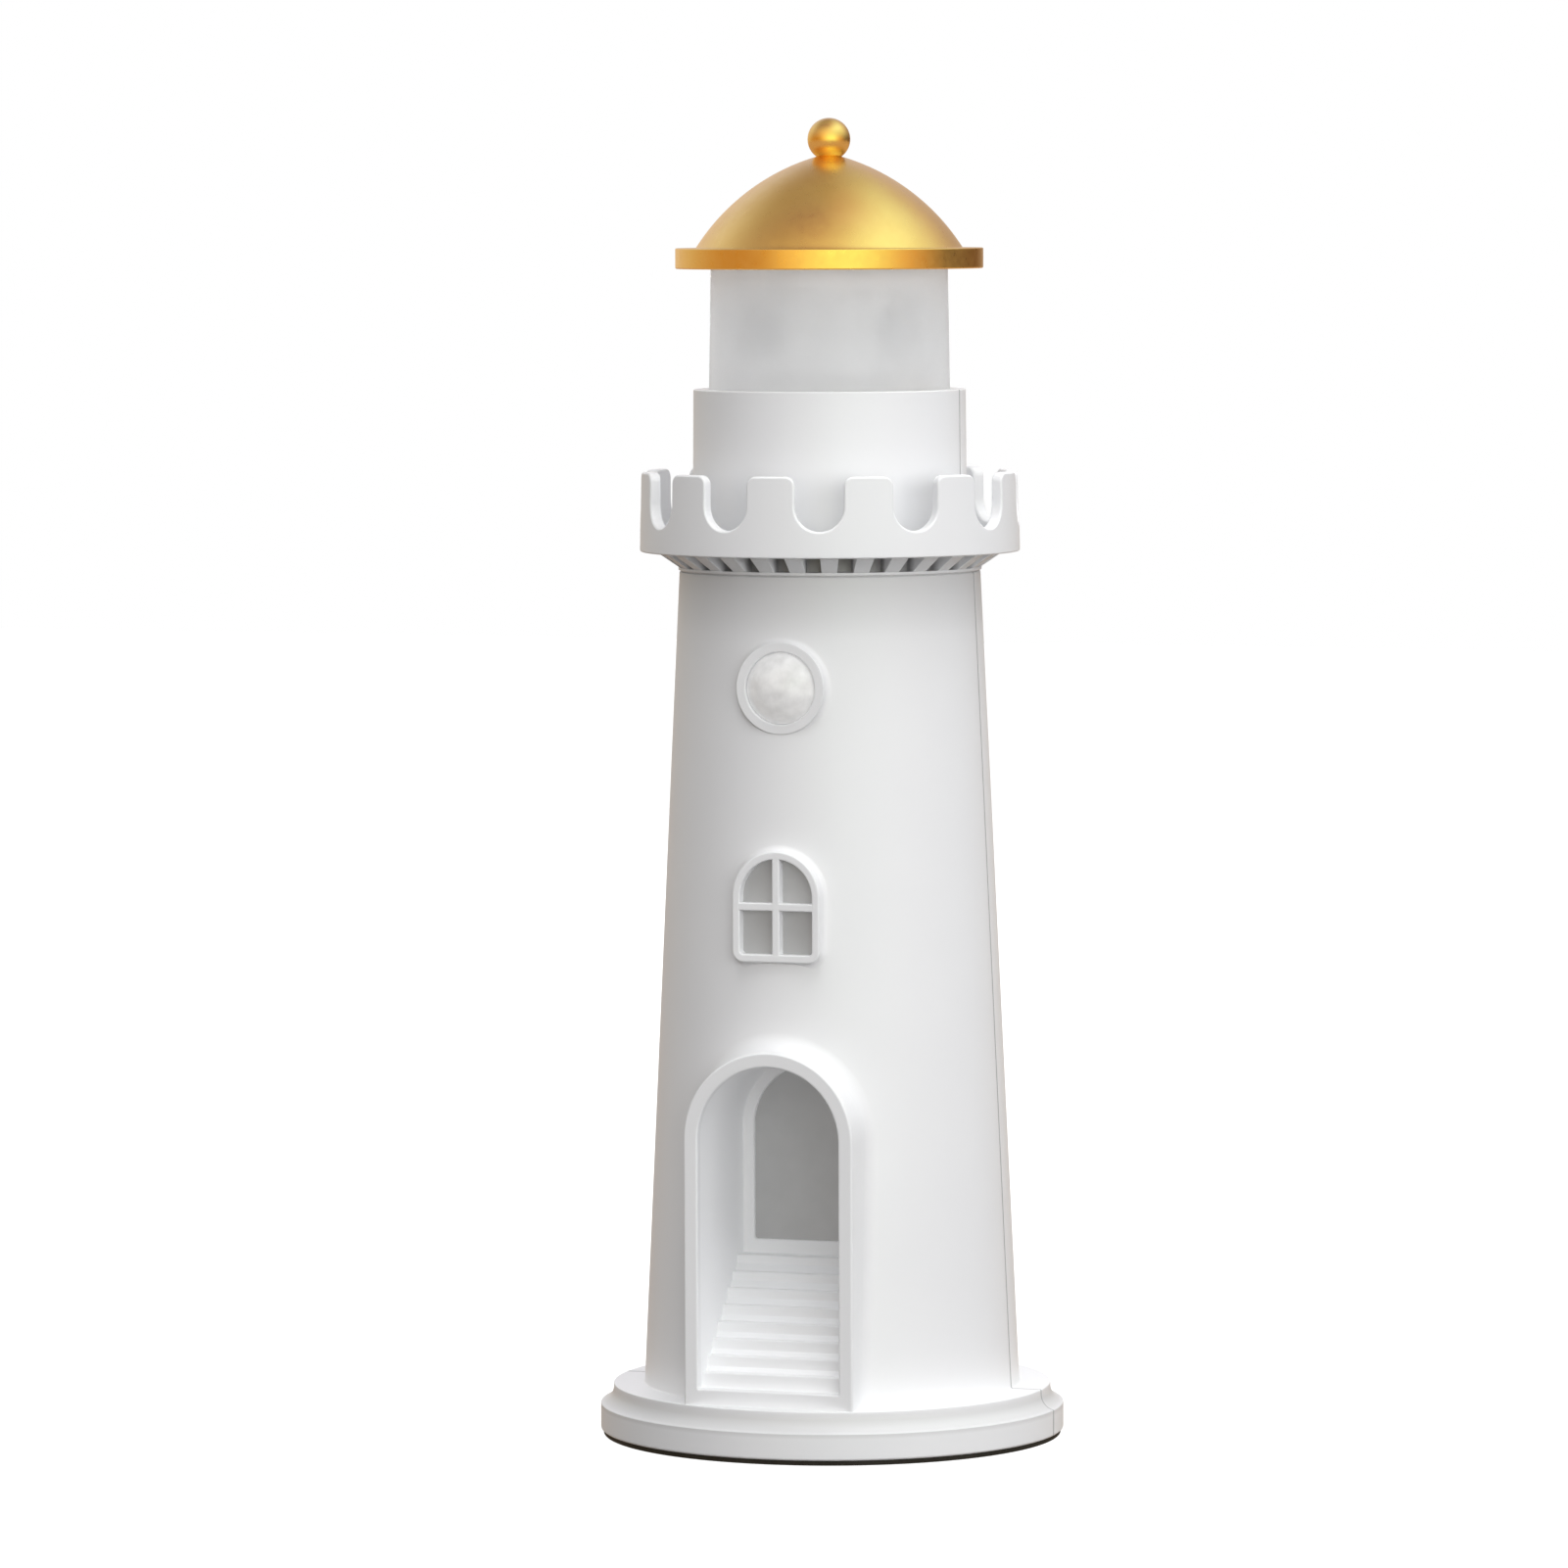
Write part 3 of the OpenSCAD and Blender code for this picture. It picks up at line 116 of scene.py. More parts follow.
def soft_lamp(name, azimuth, elevation, watts):
    """A square lamp that looks at the middle of the object from that azimuth and elevation."""
    data = bpy.data.lights.new(name, "AREA")
    data.shape, data.size, data.energy = "SQUARE", BOX_SIZE, watts
    lamp = put(name, data)
    a, e = math.radians(azimuth), math.radians(elevation)
    away = Vector((math.sin(a) * math.cos(e), -math.cos(a) * math.cos(e), math.sin(e)))
    lamp.location = Vector((0, 0, AIM_HEIGHT)) + away * BOX_DISTANCE
    lamp.rotation_euler = away.to_track_quat("Z", "Y").to_euler()
    lamp.visible_glossy = False


for number, box in enumerate(BOXES):
    soft_lamp(f"box_{number}", *box)
print("lamps:", len(BOXES))

# %% [markdown]
# Nodes are added all through this lesson, so a small helper does it: it makes one, sets its
# settings and fills its inputs, by name or number, with a value or with a link from another node's
# output. The helpers after it make what comes back most: a ramp, a sum, a mix, a change of range.
# %% Node helpers
def add(tree, kind, inputs=None, family="ShaderNode", **settings):
    """Adds a node to a tree; an input gets a value, or a link where it is given a socket."""
    made = tree.nodes.new(family + kind)
    for key, value in settings.items():
        setattr(made, key, value)
    for key, value in (inputs or {}).items():
        if isinstance(value, bpy.types.NodeSocket):
            tree.links.new(value, made.inputs[key])
        else:
            made.inputs[key].default_value = value
    return made


def ramp(tree, factor, stops):
    """A colour ramp over a factor, from (position, colour) stops; returns its colour output."""
    made = add(tree, "ValToRGB", {"Fac": factor})
    elements = made.color_ramp.elements
    while len(elements) < len(stops):
        elements.new(0.5)
    for element, (position, colour) in zip(elements, stops):
        element.position = position
        element.color = (*colour, 1) if hasattr(colour, "__len__") else (colour, colour, colour, 1)
    return made.outputs["Color"]


def calc(tree, operation, *values):
    """The result of a math node over values and sockets."""
    return add(tree, "Math", dict(enumerate(values)), operation=operation).outputs[0]


def blend(tree, share, first, second):
    """A colour between two: the first where the share is 0, the second where it is 1."""
    return add(tree, "Mix", {"Factor": share, 6: first, 7: second}, data_type="RGBA").outputs[2]


def mapped(tree, value, low, high, to=(0.0, 1.0)):
    """Maps a value from the range low to high to another range, and keeps it inside."""
    return add(tree, "MapRange", {"Value": value, "From Min": low, "From Max": high,
                                  "To Min": to[0], "To Max": to[1]}).outputs[0]


def fresh_tree(owner):
    """The empty node tree of a new material or world."""
    owner.use_nodes = True
    owner.node_tree.nodes.clear()
    return owner.node_tree


def ray_kinds(tree):
    """Two shares: 1 for mirror rays, and 1 for rays from the camera, also through clear pieces."""
    path = add(tree, "LightPath").outputs
    return path["Is Glossy Ray"], calc(tree, "MAXIMUM", path["Is Camera Ray"],
                                       path["Is Transmission Ray"])


print("node helpers ready")

# %% [markdown]
# Matt pieces get even grey light from the room. Rays from the camera and rays through clear pieces
# see pure white. Mirror rays see a panorama of the studio: bright cards and dark gaps round the
# horizon, above it and over the top. Each row of its table is one band: its elevation, and then the
# shade of the card at each azimuth, seen from the lamp.
# %% World
ROOM_LIGHT = 0.54
CARD_AZIMUTHS = (-160, -110, -70, -35, -5, 20, 45, 75, 115, 165)
PANORAMA = [
    (0, (0.9, 0.75, 0.6), (0.7, 0.55, 0.3), (0.55, 0.25, 0), (0.55, 0.25, 0), (1.3, 0.95, 0.3),
     (1.5, 1.85, 0.7), (1.55, 1.8, 0.7), (1, 0.5, 0.1), (0, 0, 0), (0.12, 0.04, 0)),
    (30, (0.6, 0.6, 0.85), (0.8, 0.8, 0.75), (0.5, 0.4, 0.3), (0.8, 0.55, 0.3), (1.1, 0.85, 0.45),
     (1.15, 1.1, 0.6), (0.95, 1.1, 0.65), (0.8, 0.9, 0.6), (0.9, 0.9, 0.65), (0.6, 0.5, 0.5)),
    (55, (0.3, 0.2, 0.15), (0.4, 0.35, 0.25), (0.4, 0.3, 0.25), (0.6, 0.5, 0.3), (0.8, 0.65, 0.4),
     (1, 0.9, 0.55), (1.15, 1.15, 0.75), (1.25, 1.55, 1.1), (1.25, 1.5, 1.2), (0.7, 0.75, 0.6)),
    (80, (0.45, 0.4, 0.25), (0.4, 0.35, 0.3), (0.3, 0.2, 0.2), (0.35, 0.2, 0.2), (0.45, 0.3, 0.25),
     (0.5, 0.35, 0.3), (0.55, 0.45, 0.35), (0.7, 0.55, 0.45), (0.65, 0.45, 0.4),
     (0.55, 0.4, 0.3))]


def panorama(tree):
    """The studio as mirror rays see it: a colour ramp by azimuth for each band of elevation."""
    ahead = add(tree, "TexCoord").outputs["Generated"]
    split = add(tree, "SeparateXYZ", {0: ahead}).outputs
    azimuth = calc(tree, "ARCTAN2", split["X"], calc(tree, "MULTIPLY", split["Y"], -1.0))
    share = calc(tree, "MULTIPLY_ADD", azimuth, 0.5 / math.pi, 0.5)
    height = calc(tree, "ARCSINE", split["Z"])
    colour, below = None, None
    for elevation, *shades in PANORAMA:
        gap = (180 - CARD_AZIMUTHS[-1]) / (CARD_AZIMUTHS[0] + 360 - CARD_AZIMUTHS[-1])
        behind = tuple(np.array(shades[-1]) * (1 - gap) + np.array(shades[0]) * gap)
        stops = [((a + 180) / 360, shade) for a, shade in zip(CARD_AZIMUTHS, shades)]
        band = ramp(tree, share, [(0, behind), *stops, (1, behind)])
        if colour is None:
            colour = band
        else:
            rise = mapped(tree, height, math.radians(below), math.radians(elevation))
            colour = blend(tree, rise, colour, band)
        below = elevation
    return colour


scene.world = bpy.data.worlds.new("studio")
tree = fresh_tree(scene.world)
glossy, seen = ray_kinds(tree)
white = (1, 1, 1, 1)
room, backdrop, mirror = (
    add(tree, "Background", {"Color": colour, "Strength": strength}).outputs[0]
    for colour, strength in ((white, ROOM_LIGHT), (white, 1.0), (panorama(tree), 1.0)))
unseen = add(tree, "MixShader", {0: glossy, 1: room, 2: mirror}).outputs[0]
all_rays = add(tree, "MixShader", {0: seen, 1: unseen, 2: backdrop}).outputs[0]
add(tree, "OutputWorld", {"Surface": all_rays})
print("world nodes:", len(tree.nodes))

# %% [markdown]
# The floor must look white to the camera and still take the shadow of the foot. So the camera sees
# a glow with a little plain paint in it. Mirror rays see a warm glow, because the ball and the brim
# are warm below. All other rays see dark paint, because the underside of the gallery and the rim
# get little light from below in the photograph.
# %% Floor
REACH, FLOOR_GLOW, FLOOR_SEEN, FLOOR_PAINT = 3.0, 0.9, 0.35, 0.12
FLOOR_MIRRORED = (0.6, 0.4, 0.24, 1)
floor_mesh = bpy.data.meshes.new("floor")
floor_mesh.from_pydata([(x * REACH, y * REACH, 0) for x, y in ((-1, -1), (1, -1), (1, 1), (-1, 1))],
                       [], [(0, 1, 2, 3)])
floor = put("floor", floor_mesh)
floor_material = bpy.data.materials.new("white_floor")
tree = fresh_tree(floor_material)
glossy, seen = ray_kinds(tree)
glow = add(tree, "Emission", {"Strength": FLOOR_GLOW}).outputs[0]
pale, dark = (add(tree, "BsdfDiffuse", {"Color": (grey, grey, grey, 1)}).outputs[0]
              for grey in (FLOOR_SEEN, FLOOR_PAINT))
shown = add(tree, "AddShader", {0: glow, 1: pale}).outputs[0]
mirrored = add(tree, "Emission", {"Color": FLOOR_MIRRORED}).outputs[0]
unseen = add(tree, "MixShader", {0: glossy, 1: dark, 2: mirrored}).outputs[0]
chosen = add(tree, "MixShader", {0: seen, 1: unseen, 2: shown}).outputs[0]
add(tree, "OutputMaterial", {"Surface": chosen})
floor.data.materials.append(floor_material)
print("floor is", 2 * REACH, "m wide")

# %% [markdown]
# ## Finishes
# Every finish is made the same way, as it is on real parts. The colour drifts a little between two
# shades in soft patches, because plastic flows and metal is handled. A fine grain, left by the
# mould or the tool, moves both the gloss and the surface. Where a shade is given for the edges,
# they are a little paler or darker than the faces, because they wear and are wiped first.
# All patterns are laid out in the object's own millimetres, so each has its true size.
# %% A finish
finishes, shaders = {}, {}
EDGE_WIDTH = 0.25


def finish(slot, name, shades, gloss, grain=0.5, depth=0.01, patch=18, edge=None,
           stretch=(1, 1, 1), glow=0, **fixed):
    """Makes the finish of a slot: two shades, a range of roughness, the grain's size and depth, the
    patches' size, the shade of the edges, how the grain is drawn out, and a faint glow of painted
    light."""
    material = bpy.data.materials.new(name)
    tree = fresh_tree(material)
    where = add(tree, "TexCoord").outputs["Object"]
    drawn = add(tree, "VectorMath", {0: where, 1: stretch}, operation="MULTIPLY").outputs[0]
    patches, fine = (
        add(tree, "TexNoise", {"Vector": spot, "Scale": 1 / (size * MM), "Detail": 3.0}).outputs[0]
        for spot, size in ((where, patch), (drawn, grain)))
    colour = ramp(tree, patches, [(0.3, shades[0]), (0.7, shades[1])])
    if edge:
        rounded = add(tree, "Bevel", {"Radius": EDGE_WIDTH * MM}, samples=4).outputs[0]
        flat = add(tree, "NewGeometry").outputs["Normal"]
        agree = add(tree, "VectorMath", {0: rounded, 1: flat}, operation="DOT_PRODUCT").outputs
        worn = ramp(tree, agree["Value"], [(0.8, 1.0), (0.97, 0.0)])
        colour = blend(tree, worn, colour, (*edge, 1))
    rough = mapped(tree, fine, 0.3, 0.7, gloss)
    bump = add(tree, "Bump", {"Height": fine, "Strength": 0.5, "Distance": depth * MM}).outputs[0]
    shader = add(tree, "BsdfPrincipled", {
        "Base Color": colour, "Roughness": rough, "Normal": bump,
        "Emission Color": (1, 1, 1, 1), "Emission Strength": glow})
    for socket, value in fixed.items():
        shader.inputs[socket.replace("_", " ")].default_value = value
    add(tree, "OutputMaterial", {"Surface": shader.outputs[0]})
    finishes[slot], shaders[slot] = material, (tree, shader, where, colour)


WHITE = [(0.83, 0.838, 0.856), (0.85, 0.857, 0.872)]
for slot in ("white_shell", "parted_shell", "slotted_ring"):
    finish(slot, "satin_" + slot, WHITE, (0.38, 0.48), grain=0.6, depth=0.012, patch=30)
# The alcove's finish glows faintly: painted light that brightens the inside of the doorway, though
# nothing in it shines.
finish("alcove_painted_glow", "satin_bright_alcove", WHITE, (0.4, 0.5), grain=0.6, depth=0.012, patch=30,
       glow=0.05)
finish("inner_plastic", "natural_plastic", [(0.74, 0.74, 0.72), (0.8, 0.8, 0.785)], (0.45, 0.6),
       grain=0.8, depth=0.02, patch=12, edge=(0.84, 0.84, 0.83))
finish("dark_plastic", "dark_moulding", [(0.03, 0.031, 0.033), (0.05, 0.05, 0.053)], (0.38, 0.55),
       grain=0.4, depth=0.02, patch=8, edge=(0.09, 0.09, 0.095))
finish("black_rubber", "foot_rubber", [(0.01, 0.01, 0.01), (0.022, 0.021, 0.02)], (0.75, 0.95),
       grain=0.45, depth=0.06, patch=7, edge=(0.04, 0.039, 0.037))
print("plastics and rubber:", len(finishes))

# %% [markdown]
# Some places of the white moulding get painted shade, a darker colour where shade falls. A thin
# dark line is painted along the parting line of the two halves, in the plane Y = 0, for the shade
# in its groove, and the slots of the bracket ring are painted dark for the shade deep inside them.
# The hollow moulding of the base and the walls under and over the gallery get painted shade too.
# Each shaded hollow has its level, the distance up and down where the painted shade is full, and
# where it ends.
# %% Painted shade in the seam, the slots and the hollows
SEAM_SHADE, SLOT_SHADE, HOLLOW_SHADE = (0.42, 0.42, 0.43), (0.36, 0.36, 0.37), (0.64, 0.644, 0.652)
SHADED_HOLLOWS = [(8.2, 1.0, 2.6), (190.6, 2, 17)]
SEAM_SHADE_HALF, SLOT_DEPTHS = (0.3, 0.42), (31.0, 33.0)


def darken(slot, distance, near, far, shade):
    """Mixes a darker shade into a finish where a distance is under near, fading out at far."""
    tree, shader, where, colour = shaders[slot]
    share = mapped(tree, distance, near * MM, far * MM, (1.0, 0.0))
    mixed = blend(tree, share, colour, (*shade, 1))
    tree.links.new(mixed, shader.inputs["Base Color"])
    shaders[slot] = tree, shader, where, mixed


tree, _, where, _ = shaders["parted_shell"]
split = add(tree, "SeparateXYZ", {0: where}).outputs
# Painted shade in the hollow moulding of the base and on the walls under and over the gallery.
for middle, near, far in SHADED_HOLLOWS:
    away = calc(tree, "ABSOLUTE", calc(tree, "SUBTRACT", split["Z"], middle * MM))
    darken("parted_shell", away, near, far, HOLLOW_SHADE)
# Painted shade along the parting line, for the shade in its groove.
darken("parted_shell", calc(tree, "ABSOLUTE", split["Y"]), *SEAM_SHADE_HALF, SEAM_SHADE)
tree, _, where, _ = shaders["slotted_ring"]
level = add(tree, "VectorMath", {0: where, 1: (1, 1, 0)}, operation="MULTIPLY").outputs[0]
radius = add(tree, "VectorMath", {0: level}, operation="LENGTH").outputs["Value"]
# Painted shade deep in the slots of the bracket ring.
darken("slotted_ring", radius, *SLOT_DEPTHS, SLOT_SHADE)
print("darker places are in two finishes")

# %% [markdown]
# The metals inside are drawn, turned or plated. The grain is stretched along the direction of the
# tool by squeezing the pattern's coordinates: round the post, along the shaft and across the discs.
# %% Metals and boards
finish("steel", "zinc_plated_steel", [(0.5, 0.5, 0.52), (0.62, 0.61, 0.58)], (0.28, 0.42),
       grain=0.5, depth=0.008, patch=5, edge=(0.72, 0.72, 0.72), stretch=(1, 1, 6), Metallic=1.0)
finish("nickel", "nickel_plate", [(0.62, 0.61, 0.58), (0.72, 0.71, 0.68)], (0.2, 0.32),
       grain=0.6, depth=0.004, patch=4, edge=(0.8, 0.79, 0.77), Metallic=1.0)
finish("post_metal", "turned_aluminium", [(0.7, 0.7, 0.71), (0.8, 0.8, 0.81)], (0.25, 0.4),
       grain=2.0, patch=6, edge=(0.9, 0.9, 0.9), stretch=(1, 1, 14), Metallic=1.0)
finish("pinion_brass", "cut_brass", [(0.66, 0.45, 0.16), (0.78, 0.56, 0.24)], (0.22, 0.36),
       grain=0.4, depth=0.006, patch=2, edge=(0.9, 0.7, 0.36), stretch=(1, 1, 0.2), Metallic=1.0)
finish("circuit_board", "green_board", [(0.012, 0.12, 0.05), (0.02, 0.17, 0.075)], (0.3, 0.42),
       grain=0.7, depth=0.02, patch=5, edge=(0.25, 0.26, 0.12))
finish("light_board", "white_board", [(0.8, 0.8, 0.79), (0.86, 0.86, 0.85)], (0.3, 0.42),
       grain=0.7, depth=0.02, patch=5, edge=(0.6, 0.58, 0.5))
finish("led_package", "phosphor_dome", [(0.78, 0.62, 0.12), (0.88, 0.74, 0.25)], (0.25, 0.35),
       grain=0.2, patch=1.2, edge=(0.92, 0.9, 0.82), Coat_Weight=0.6, Coat_Roughness=0.1)
finish("cell_wrap", "shrink_wrap", [(0.03, 0.1, 0.34), (0.045, 0.14, 0.45)], (0.22, 0.34),
       grain=1.5, depth=0.03, patch=9, edge=(0.1, 0.22, 0.55), stretch=(1, 1, 0.3), Coat_Weight=0.3)
finish("wire_sleeve", "wire_sleeve_soft", [(0.36, 0.03, 0.025), (0.5, 0.055, 0.04)], (0.3, 0.42),
       grain=0.3, patch=4, edge=(0.6, 0.12, 0.09))
print("finishes so far:", len(finishes))

# %% [markdown]
# The boards carry thin copper tracks under their lacquer. A pattern of square cells gives their
# edges: near a cell's edge the lacquer stands a little proud and the green is paler.
# %% Tracks
CELL, TRACK_RELIEF = 2.2, 0.03
for slot, track in (("circuit_board", (0.05, 0.28, 0.12)), ("light_board", (0.9, 0.9, 0.88))):
    tree, shader, where, colour = shaders[slot]
    cells = add(tree, "TexVoronoi", {"Vector": where, "Scale": 1 / (CELL * MM)},
                distance="MANHATTAN").outputs["Distance"]
    line = ramp(tree, cells, [(0.42, 0.0), (0.46, 1.0), (0.54, 1.0), (0.58, 0.0)])
    tree.links.new(blend(tree, line, colour, (*track, 1)), shader.inputs["Base Color"])
    relief = add(tree, "Bump", {"Height": line, "Strength": 0.6,
                                "Distance": TRACK_RELIEF * MM}).outputs[0]
    tree.links.new(relief, shader.inputs["Normal"])
print("boards have tracks")

# %% [markdown]
# Panes and sensor lens are plastic that is frosted, tinted or milky. In daylight they read as soft
# greys, so they get a grey body with a dull grain, and a thin clear coat on the lens. A faint glow
# is painted light: it brightens them evenly, in place of the light that such a plastic takes in at
# one place and gives back at another.
# The lantern is different: light passes through its frosted wall, meets the drum of lenses behind
# it and comes back, so soft grey zones show through. Its finish lets much of the light pass, well
# scattered, and a faint glow of painted light brightens it evenly.
# %% Panes and lenses
finish("grey_pane", "frosted_grey_pane", [(0.34, 0.343, 0.347), (0.38, 0.383, 0.387)], (0.42, 0.58),
       grain=0.35, depth=0.02, patch=9, glow=0.08)
finish("milky_lens", "milky_sensor_lens", [(0.42, 0.42, 0.42), (0.56, 0.56, 0.56)], (0.3, 0.42),
       grain=0.4, depth=0.008, patch=2.5, glow=0.3, Coat_Weight=0.15, Coat_Roughness=0.2)
finish("clear_lens", "clear_projector_lens", [(0.9, 0.93, 0.95), (0.96, 0.97, 0.98)], (0.02, 0.06),
       grain=0.3, depth=0.001, patch=6, Transmission_Weight=0.92, IOR=1.49)
finish("frosted_lantern", "frosted_lantern_tube", [(0.64, 0.645, 0.655), (0.68, 0.685, 0.695)],
       (0.6, 0.75), grain=0.45, depth=0.02, patch=10, glow=0.12, Transmission_Weight=0.65, IOR=1.45)
print("finishes so far:", len(finishes))

# %% [markdown]
# The cap and the ball are plastic under vacuum-laid metal, in a warm satin gold. The metal layer
# copies the plastic below, so the surface has a faint orange peel and the reflections are soft.
# %% Gold
finish("gold_finish", "satin_gold", [(0.96, 0.66, 0.25), (1.0, 0.71, 0.28)], (0.27, 0.34),
       grain=1.6, depth=0.001, patch=9, Metallic=1.0)
slots = {part["node"]: part["material_slot"] for part in frame["record"]["subparts"]}


def dress(piece, look):
    """Gives a piece one finish in place of all that it has."""
    piece.data.materials.clear()
    piece.data.materials.append(finishes[look])


for node, slot in slots.items():
    dress(nodes[node], slot)
print("finishes:", len(finishes))

# %% [markdown]
# ## The workshop
# Most pieces of this lamp are turned round one axis or follow an outline. A few helpers are enough:
# one rounds the corners of an outline, one lofts closed sections into a skin, and the others carve,
# join and polish. Every real moulded edge has a small radius, because it catches a line of light.
# %% Outlines
def eased_outline(corners, step=15):
    """Points of a closed outline whose corners (a, b, ease) are rounded with a radius of ease."""
    points = []
    for i, (a, b, ease) in enumerate(corners):
        here = np.array((a, b), float)
        if not ease:
            points.append(here)
            continue
        before = np.array(corners[i - 1][:2], float) - here
        after = np.array(corners[(i + 1) % len(corners)][:2], float) - here
        before, after = before / np.linalg.norm(before), after / np.linalg.norm(after)
        opening = math.acos(np.clip(before @ after, -1, 1))
        middle = (before + after) / np.linalg.norm(before + after)
        centre = here + middle * ease / math.sin(opening / 2)
        start = here + before * ease / math.tan(opening / 2) - centre
        end = here + after * ease / math.tan(opening / 2) - centre
        turn = math.pi - opening
        count = max(2, math.ceil(math.degrees(turn) / step))
        for k in range(count + 1):
            t = k / count
            points.append(centre + (math.sin((1 - t) * turn) * start + math.sin(t * turn) * end)
                          / math.sin(turn))
    return points


def offset_loop(loop, by):
    """A closed outline with its sides moved out by a distance, or in where it is negative."""
    p = np.array(loop, float)
    forward = np.roll(p, -1, 0) - p
    forward /= np.linalg.norm(forward, axis=1)[:, None]
    area = np.sum(p[:, 0] * np.roll(p[:, 1], -1) - np.roll(p[:, 0], -1) * p[:, 1])
    out = np.stack([forward[:, 1], -forward[:, 0]], 1) * np.sign(area)
    mean = out + np.roll(out, 1, 0)
    return p + mean * (2 * by / np.sum(mean * mean, 1))[:, None]


def rounded_box(half_w, half_h, ease, x=0, z=0):
    """The outline of a box round (x, z), with rounded corners."""
    return eased_outline([(x - half_w, z - half_h, ease), (x + half_w, z - half_h, ease),
                          (x + half_w, z + half_h, ease), (x - half_w, z + half_h, ease)])


print("a square with eased corners has", len(rounded_box(9, 9, 1)), "points")


# %% Skins
def loft(name, sections, ring=False):
    """Skins closed sections of equally many points in millimetres, with flat ends or as a ring."""
    size = len(sections[0])
    points = [p for section in sections for p in section]
    faces = []
    for i in range(len(sections) if ring else len(sections) - 1):
        a, b = i * size, (i + 1) % len(sections) * size
        faces += [(a + k, a + (k + 1) % size, b + (k + 1) % size, b + k) for k in range(size)]
    if not ring:
        faces += [tuple(range(size)), tuple(range(len(points) - size, len(points)))]
    mesh = bpy.data.meshes.new(name)
    mesh.from_pydata([Vector(p) * MM for p in points], [], faces)
    return put(name, mesh)


@contextmanager
def opened(piece):
    """Opens the mesh of a piece for changes and writes it back after them."""
    bm = bmesh.new()
    bm.from_mesh(piece.data)
    yield bm
    bm.to_mesh(piece.data)
    bm.free()


def clean(piece, near=0.0005):
    """Merges doubled points, drops loose edges and turns the faces of a closed skin outwards."""
    with opened(piece) as bm:
        bmesh.ops.remove_doubles(bm, verts=bm.verts, dist=near * MM)
        bmesh.ops.delete(bm, geom=[e for e in bm.edges if not e.link_faces], context="EDGES")
        bmesh.ops.recalc_face_normals(bm, faces=bm.faces)
    return piece


def settle(piece):
    """Turns what a piece's modifiers make into its mesh, and takes the modifiers off."""
    graph = bpy.context.evaluated_depsgraph_get()
    made = bpy.data.meshes.new_from_object(
        piece.evaluated_get(graph), preserve_all_data_layers=True, depsgraph=graph)
    piece.modifiers.clear()
    piece.data = made
    return piece


def carve(piece, tool, how="DIFFERENCE"):
    """Cuts a tool from a piece, joins the two, or keeps what they share, and drops the tool."""
    cut = piece.modifiers.new("carve", "BOOLEAN")
    cut.object, cut.operation, cut.solver = tool, how, "EXACT"
    settle(piece)
    bpy.data.objects.remove(tool)
    return piece


def polish(piece, sharp_angle=32):
    """Shades a piece smooth, with its large faces flat and its sharp edges kept."""
    piece.data.shade_smooth()
    piece.data.set_sharp_from_angle(angle=math.radians(sharp_angle))
    even = piece.modifiers.new("even", "WEIGHTED_NORMAL")
    even.keep_sharp, even.weight = True, 50
    return settle(piece)


def join(name, pieces):
    """Makes one object of several."""
    with bpy.context.temp_override(active_object=pieces[0], selected_editable_objects=pieces,
                                   selected_objects=pieces, object=pieces[0]):
        bpy.ops.object.join()
    pieces[0].name = name
    return pieces[0]


def stand_for(piece, node, body="housing", look=None):
    """Gives a finished piece its finish, its body and the place of a CAD node. The finish is the
    one of the node's slot, or a variety of it."""
    dress(piece, look or slots[node])
    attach(piece, body)
    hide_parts(node)
    print(piece.name, "has", len(piece.data.polygons), "faces")


# %% Turning
def around(outline, angle, side=1):
    """An outline of (radius, height) points, turned round the Z axis to an angle."""
    c, s = math.cos(angle), side * math.sin(angle)
    return [(r * c, r * s, z) for r, z in outline]


def turned(name, outline, segments=288):
    """Turns a closed outline of (radius, height) points once round the Z axis."""
    sections = [around(outline, 2 * math.pi * k / segments) for k in range(segments)]
    return clean(loft(name, sections, ring=True))


SEAM_DEPTH, SEAM_SIDE = 0.23, 0.4


def turned_half(name, outline, side, segments=180):
    """Turns an outline half round, in front (side -1) or behind (side 1), with its seam eased."""
    inner = offset_loop(outline, -SEAM_DEPTH)
    sections = [[(r, 0, z) for r, z in inner], [(r, side * SEAM_SIDE, z) for r, z in outline]]
    sections += [around(outline, math.pi * k / segments, side) for k in range(1, segments)]
    sections += [[(-r, y, z) for r, y, z in section] for section in sections[1::-1]]
    return clean(loft(name, sections))


def prism(name, outline, y_from, y_to):
    """A block along Y with an outline of (x, z) points."""
    return clean(loft(name, [[(x, y, z) for x, z in outline] for y in (y_from, y_to)]))


# %% [markdown]
# ## The shell
# The base, the tower and the drum are one white moulding, split down the sides into a front and a
# rear half. One closed outline of the wall is turned half round for each. The rim has a soft edge
# and a hollow moulding above it, so the outline gets its arc as points and its corners an ease.
# Inside, the base has a seat for its closing plate, and the drum a ledge for the lantern's floor.
# %% Levels and radii
PAD_TOP, COVE_TOP, BASE_TOP, TOWER_TOP, DRUM_TOP = 1.1, 10.2, 11.1, 186.4, 225.3
BASE_R, BASE_TOP_R, TOWER_FOOT_R, TOWER_TOP_R = 50, 47.2, 40.5, 32.3
DRUM_FOOT_R, DRUM_TOP_R, WALL, COVE_R = 29.5, 29.2, 2.2, 3.5
PLATE_SEAT_R, PLATE_SEAT_TOP, LIP_R, LEDGE_R = 47.6, 4.5, 26.0, 24.9
DECK_TOP, DECK_BOTTOM, LEDGE_FOOT = 220.8, 218.8, 216.6
SLOPE = (TOWER_FOOT_R - TOWER_TOP_R) / (TOWER_TOP - BASE_TOP)
SLOPE_ANGLE = math.atan(SLOPE)


def tower_r(z):
    """The tower's radius at a level."""
    return TOWER_FOOT_R - (z - BASE_TOP) * SLOPE


def cone_normal(x, y):
    """The direction straight out of the tower's cone, at a place on any level."""
    r = math.hypot(x, y) / math.cos(SLOPE_ANGLE)
    return np.array((x / r, y / r, math.sin(SLOPE_ANGLE)))


